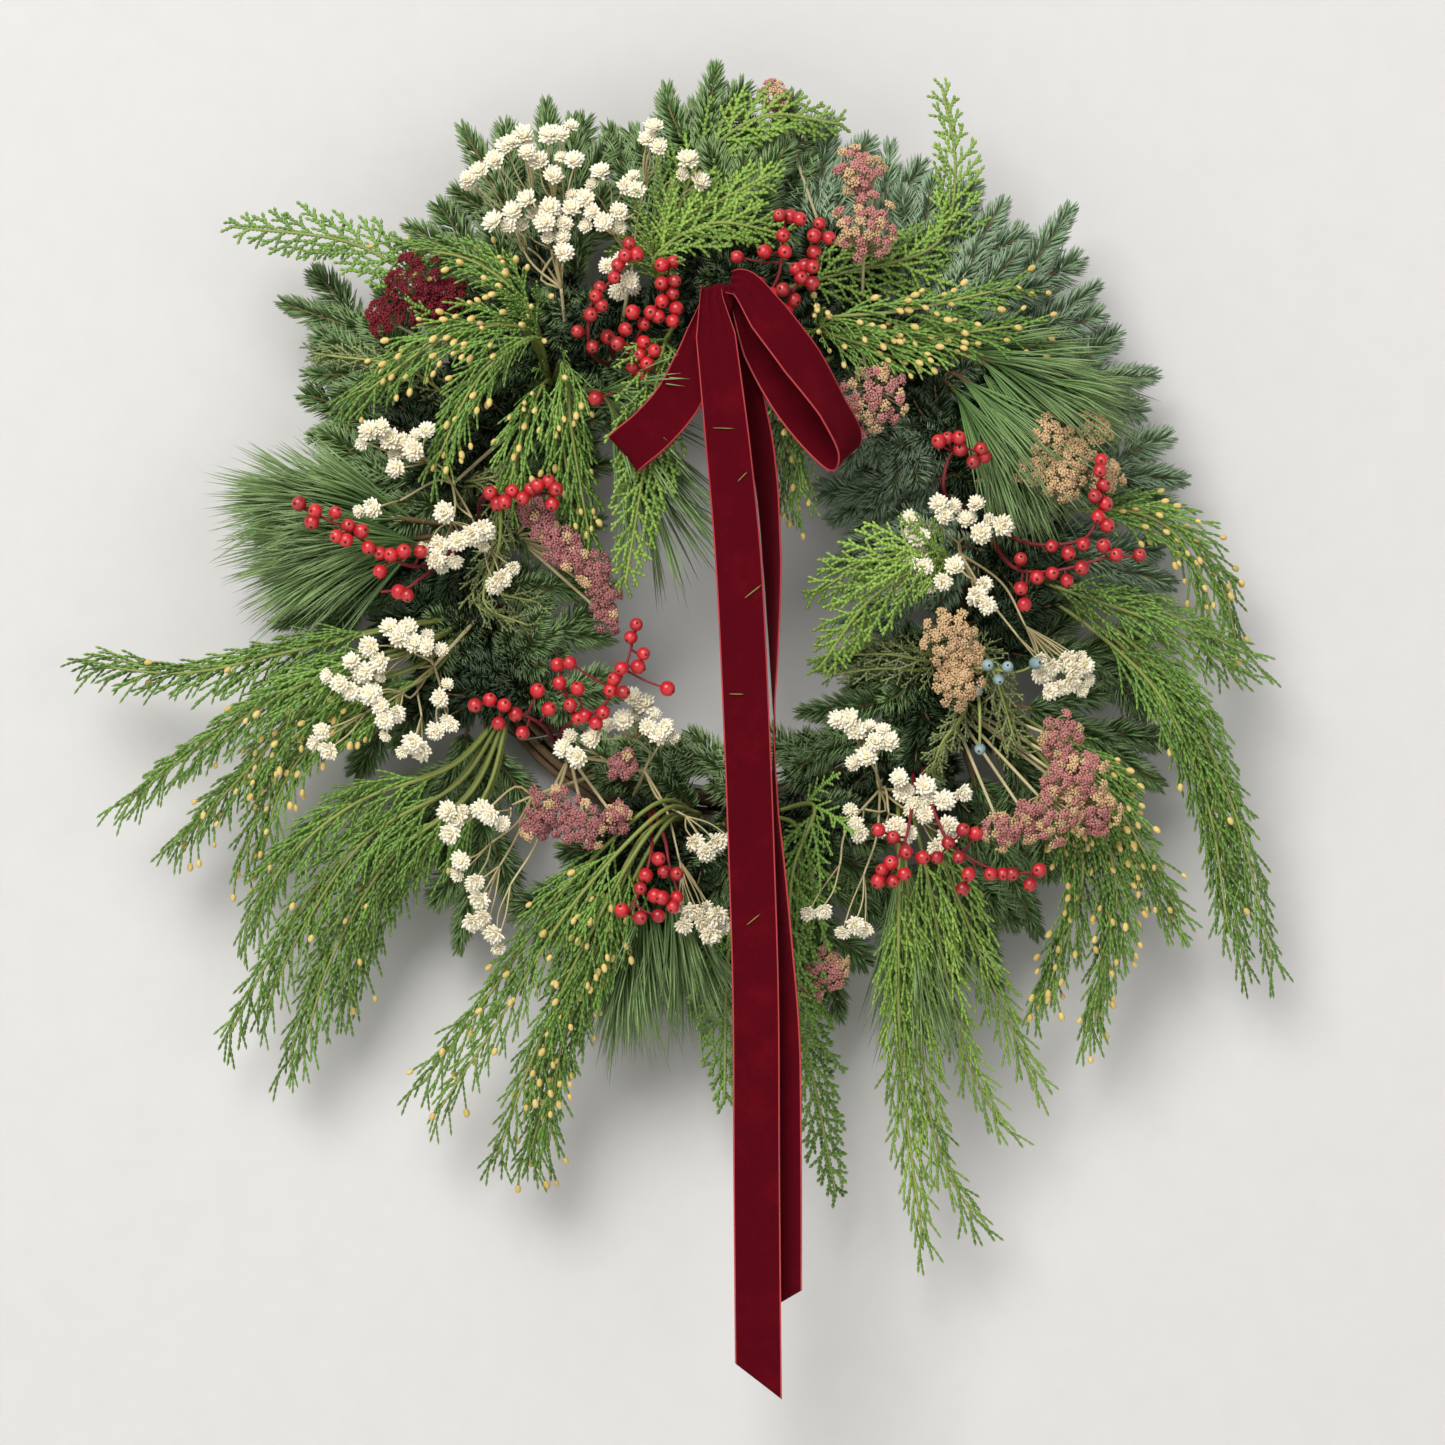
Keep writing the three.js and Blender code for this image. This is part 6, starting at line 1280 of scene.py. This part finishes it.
def dress_knot():
    """The ribbon's turn round the middle of the bow, with its folds, and the wire behind it."""
    heap = Heap()
    rows, columns = KNOT_MESH
    u = np.linspace(0.02, math.pi - 0.02, rows)[:, None]
    w = np.linspace(0, 2 * math.pi, columns, endpoint=False)[None]
    x = np.sin(u) * np.cos(w)
    y = np.sin(u) * np.sin(w)
    z = np.cos(u) * np.ones_like(w)
    stretch = 1 / np.maximum(np.maximum(abs(x), abs(y)), abs(z)) ** 0.5
    folds = 1 - KNOT_FOLD_DEPTH * (0.5 + 0.5 * np.cos(KNOT_FOLDS * np.pi * x * stretch))
    size = KNOT_SIZE / 2
    body = np.stack([x * stretch * size[0] * folds, y * stretch * size[1] * folds,
                     z * stretch * size[2] * folds], axis=-1)
    centre = spot(KNOT_CENTRE)
    points = body.reshape(-1, 3) + centre
    k, j = np.meshgrid(np.arange(rows - 1), np.arange(columns), indexing="ij")
    a, b = (k * columns + j).ravel(), (k * columns + (j + 1) % columns).ravel()
    quads = np.stack([a, a + columns, b + columns, b], axis=1)
    caps = [np.arange(columns)[None], ((rows - 1) * columns + np.arange(columns))[::-1][None]]
    heap.add(points, [quads, np.concatenate(caps)], np.full((len(points), 2), 0.5), 0)
    tie = resample(np.array([centre, spot([*KNOT_CENTRE[:2], STEMS_DEPTH[1] + 1.5])]), 6.0)
    heap.tube(tie, (1.0, 1.0), 8, 0.5, 1)
    return dress(heap, "ribbon_knot", finishes("velvet", "wire"))


# ---- frame, stems and wire ---------------------------------------------------------------------

STICKS = 190                      # in the bundle round the ring
STICK_THICK = (1.4, 2.6)
STICK_SWEEP = (0.55, 1.0)         # how far round a stick reaches, in radians
STICK_TAPER = 0.8
STICK_BEND = 0.35                 # towards and away from the viewer
# The binding wire's path round the bundle: out from the ring's middle line, depth
BINDING_PATH = ((-18.3, -3.2), (18.3, -3.2), (18.6, 16), (13.2, 27.0), (-13.2, 27.0), (-18.6, 16))
BINDING_START = 0.35
BINDING_SHARE = 0.99              # of the full turn round the ring


def ring_line(radius, depth, start=0.0, sweep=2 * math.pi, step=3.0):
    """Points round the ring's centre, all the way or part of it."""
    count = max(6, int(radius * abs(sweep) / step))
    is_whole = abs(sweep - 2 * math.pi) < 1e-6
    angle = start + np.linspace(0, sweep, count, endpoint=not is_whole)
    return np.stack([radius * np.cos(angle), np.full(count, -depth), radius * np.sin(angle)], axis=1)


def dress_frame():
    """The wire ring with its bars, and the loop that it hangs by."""
    heap = Heap()
    for side in (-1, 1):
        rail = ring_line(RING_RADIUS + side * RAIL_OFFSET, 0.0)
        heap.tube(rail, (RAIL_WIRE, RAIL_WIRE), 14, 0.5, 0, True)
    for i in range(BAR_COUNT):
        angle = -2 * math.pi * (i + 0.5) / BAR_COUNT
        way = np.array([math.cos(angle), 0.0, math.sin(angle)])
        reach = RAIL_OFFSET + 0.6 * RAIL_WIRE
        bar = np.array([way * (RING_RADIUS - reach), way * (RING_RADIUS + reach)])
        heap.tube(resample(bar, 4.0), (RAIL_WIRE * 0.75, RAIL_WIRE * 0.75), 10, 0.5, 0)
    dress(heap, "ring_frame", finishes("wire"))

    heap = Heap()
    turn = np.linspace(0, 2 * math.pi, 64, endpoint=False)
    zero = np.zeros_like(turn)
    loop = np.stack([LOOP_RADIUS * np.cos(turn), zero, LOOP_HEIGHT + LOOP_RADIUS * np.sin(turn)], axis=1)
    heap.tube(loop, (LOOP_WIRE, LOOP_WIRE), 12, 0.5, 0, True)
    outer = RING_RADIUS + RAIL_OFFSET
    collar = np.stack([zero, COLLAR_RADIUS * np.cos(turn), outer + COLLAR_RADIUS * np.sin(turn)], axis=1)
    heap.tube(collar, (LOOP_WIRE * 0.85, LOOP_WIRE * 0.85), 10, 0.5, 0, True)
    dress(heap, "hanging_loop", finishes("wire"))


def dress_stems():
    """Woody stem ends laid round the ring in a bundle, each a short bent stick."""
    rng = np.random.default_rng(5)
    heap = Heap()
    middle = sum(STEMS_DEPTH) / 2
    half = (STEMS_DEPTH[1] - STEMS_DEPTH[0]) / 2
    for i in range(STICKS):
        thick = rng.uniform(*STICK_THICK)
        share = math.sqrt(rng.uniform(0.25, 1.0))
        angle = rng.uniform(0, 2 * math.pi)
        out = share * (STEMS_HALF_WIDTH - thick) * math.cos(angle)
        depth = middle + share * (half - thick) * math.sin(angle)
        sweep = rng.uniform(*STICK_SWEEP)
        line = ring_line(RING_RADIUS + out, depth, 2 * math.pi * i / STICKS, sweep, 8.0)
        steps = np.linspace(0, 1, len(line))
        wave = rng.normal(0, 0.5, 2)
        line = line + np.outer(np.sin(steps * 7 + wave[0]), [0, STICK_BEND, 0]) * share
        heap.tube(line, (thick, thick * STICK_TAPER), 7, rng.random(), 0)
    dress(heap, "bound_stems", finishes("bark"))


def dress_binding():
    """Wire wound round the bundle from one end of its turn to the other."""
    steps = BINDING_TURNS * len(BINDING_PATH)
    spots = []
    for i in range(steps):
        out, depth = BINDING_PATH[i % len(BINDING_PATH)]
        angle = BINDING_START + 2 * math.pi * BINDING_SHARE * i / steps
        reach = RING_RADIUS + out
        spots.append(spot([reach * math.cos(angle), reach * math.sin(angle), depth]))
    heap = Heap()
    line = resample(np.array(spots), 3.0)
    smooth = line.copy()
    smooth[1:-1] = (line[:-2] + 2 * line[1:-1] + line[2:]) / 4
    heap.tube(smooth, (BINDING_WIRE, BINDING_WIRE), 8, 0.5, 0)
    dress(heap, "binding_wire", finishes("wire"))


# The loose needles that lie on the velvet's front: x, z of their middles
LOOSE_NEEDLES = [(-2, 70), (8, 44), (14, -18), (5, -74), (14, -196)]
NEEDLE_LIFT = 0.9                 # from the ribbon's middle to a needle that lies on its pile


def fallen_needles():
    """A few loose needles that lie on the velvet."""
    rng = np.random.default_rng(91)
    count = len(LOOSE_NEEDLES)
    heap = Heap()
    tail = np.array([row[:3] for row in RIBBONS["ribbon_tail_front"][::-1]], float)
    at = np.array([spot([x, z, np.interp(z, tail[:, 1], tail[:, 2]) + NEEDLE_LIFT])
                   for x, z in LOOSE_NEEDLES])
    angle = rng.uniform(-0.4, 0.9, count)
    way = np.stack([np.cos(angle), np.zeros(count), np.sin(angle)], axis=1)
    long = rng.uniform(5, 13, count)
    sizes = np.stack([np.full(count, 0.28), np.full(count, 0.22), long], axis=1)
    faces = np.repeat(FRONT[None], count, axis=0)
    heap.scatter("long_needle", at - way * long[:, None] / 2, way, faces, sizes,
                 rng.uniform(0.2, 0.9, count), 0)
    piece = heap.piece("fallen_needles", finishes("green_twig"))
    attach(piece, "root")


# ---- stage, light and camera -------------------------------------------------------------------

WALL_GAP = 1.0                    # millimetres behind the wreath
STAGE_SIZE = 6.0                  # metres to each side
FLOOR = -1.6                      # metres below the nail
NAIL_RADIUS = 1.4
NAIL_REACH = 9
LIGHT_AIM = (0, 0, -0.27)
# name, place in metres, size, power, colour
LIGHTS = (("window", (-2.0, -5.2, 3.4), 4.2, 480, (1.0, 0.99, 0.97)),
          ("room", (3.2, -4.6, -0.2), 4.0, 58, (0.98, 0.99, 1.0)))
GLOW = {"Color": (1.0, 0.985, 0.96, 1), "Strength": 0.19}


def wall_material():
    """Pale paint, seen from the front only."""
    material, tree, shader = new_material("pale_wall", {"Specular IOR Level": 0.2})
    fine = use_group(tree, "fine_grain", {"Scale": 60.0, "Low": 0.8, "High": 0.95})
    tone = blend_colours(tree, fine["Height"], rgba("cecdcc"), rgba("d4d3d2"))
    tree.links.new(tone, shader.inputs["Base Color"])
    tree.links.new(fine["Roughness"], shader.inputs["Roughness"])
    clear = add_node(tree, "ShaderNodeBsdfTransparent")
    back = add_node(tree, "ShaderNodeNewGeometry").outputs["Backfacing"]
    mixed = add_node(tree, "ShaderNodeMixShader", {0: back, 1: shader.outputs[0], 2: clear.outputs[0]})
    tree.links.new(mixed.outputs[0], tree.nodes["Material Output"].inputs["Surface"])
    return material


def flat_sheet(name, corners, material):
    """One four-cornered face, for the wall and the floor."""
    mesh = bpy.data.meshes.new(name)
    mesh.from_pydata(corners, [], [(0, 1, 2, 3)])
    mesh.materials.append(material)
    made = bpy.data.objects.new(name, mesh)
    bpy.context.scene.collection.objects.link(made)
    return made


def build_stage():
    """A pale wall behind the wreath, a pale floor well below it, and the nail."""
    y = cad_box[1][1] + WALL_GAP * MM
    size = STAGE_SIZE
    paint = wall_material()
    wall = flat_sheet("wall", [(-size, y, FLOOR), (size, y, FLOOR), (size, y, size),
                               (-size, y, size)], paint)
    floor = flat_sheet("floor", [(-size, -size, FLOOR), (size, -size, FLOOR), (size, y, FLOOR),
                                 (-size, y, FLOOR)], paint)
    heap = Heap()
    height = HOOK_HEIGHT - NAIL_RADIUS
    nail = np.array([[0, y / MM, height], [0, -NAIL_REACH, height]], float)
    heap.tube(resample(nail, 3.0), (NAIL_RADIUS, NAIL_RADIUS), 12, 0.5, 0)
    heap.piece("nail", finishes("wire"))


def area_light(name, place, size, power, colour):
    lamp = bpy.data.lights.new(name, "AREA")
    lamp.shape, lamp.size, lamp.energy, lamp.color = "DISK", size, power, colour
    made = bpy.data.objects.new(name, lamp)
    made.location = place
    direction = np.array(LIGHT_AIM) - np.array(place)
    made.rotation_mode = "QUATERNION"
    made.rotation_quaternion = Vector(direction).to_track_quat("-Z", "Y")
    bpy.context.scene.collection.objects.link(made)


def build_camera():
    """The photograph's view: level, square to the wall and from far away."""
    data = bpy.data.cameras.new("camera")
    data.lens, data.sensor_width = LENS, SENSOR
    data.dof.use_dof = False
    camera = bpy.data.objects.new("camera", data)
    x, z = PHOTO_CENTRE
    distance = PHOTO_WIDTH * LENS / SENSOR
    camera.location = (x * MM, -(PHOTO_DEPTH + distance) * MM, (z - HOOK_HEIGHT) * MM)
    camera.rotation_euler = (math.pi / 2, 0, 0)
    bpy.context.scene.collection.objects.link(camera)
    bpy.context.scene.camera = camera


def build_light():
    """A large soft window up at the left, a weaker one at the right, and an even glow."""
    for lamp in LIGHTS:
        area_light(*lamp)
    world = bpy.data.worlds.new("room_light")
    bpy.context.scene.world = world
    world.use_nodes = True
    for label, value in GLOW.items():
        world.node_tree.nodes["Background"].inputs[label].default_value = value
    bpy.context.scene.view_settings.view_transform = "Standard"


# ---- the wreath --------------------------------------------------------------------------------

build_camera()
build_stage()
build_light()
dress_frame()
dress_stems()
dress_binding()
for node in RIBBONS:
    dress_ribbon(node)
dress_knot()
for node, plan in BERRIES.items():
    dress_berries(node, *plan)
for node, plan in FLOWERS.items():
    dress_flowers(node, *plan)
for node, plan in HEADS.items():
    dress_heads(node, *plan)
for node, plan in GREENS.items():
    dress_greens(node, *plan)
fallen_needles()
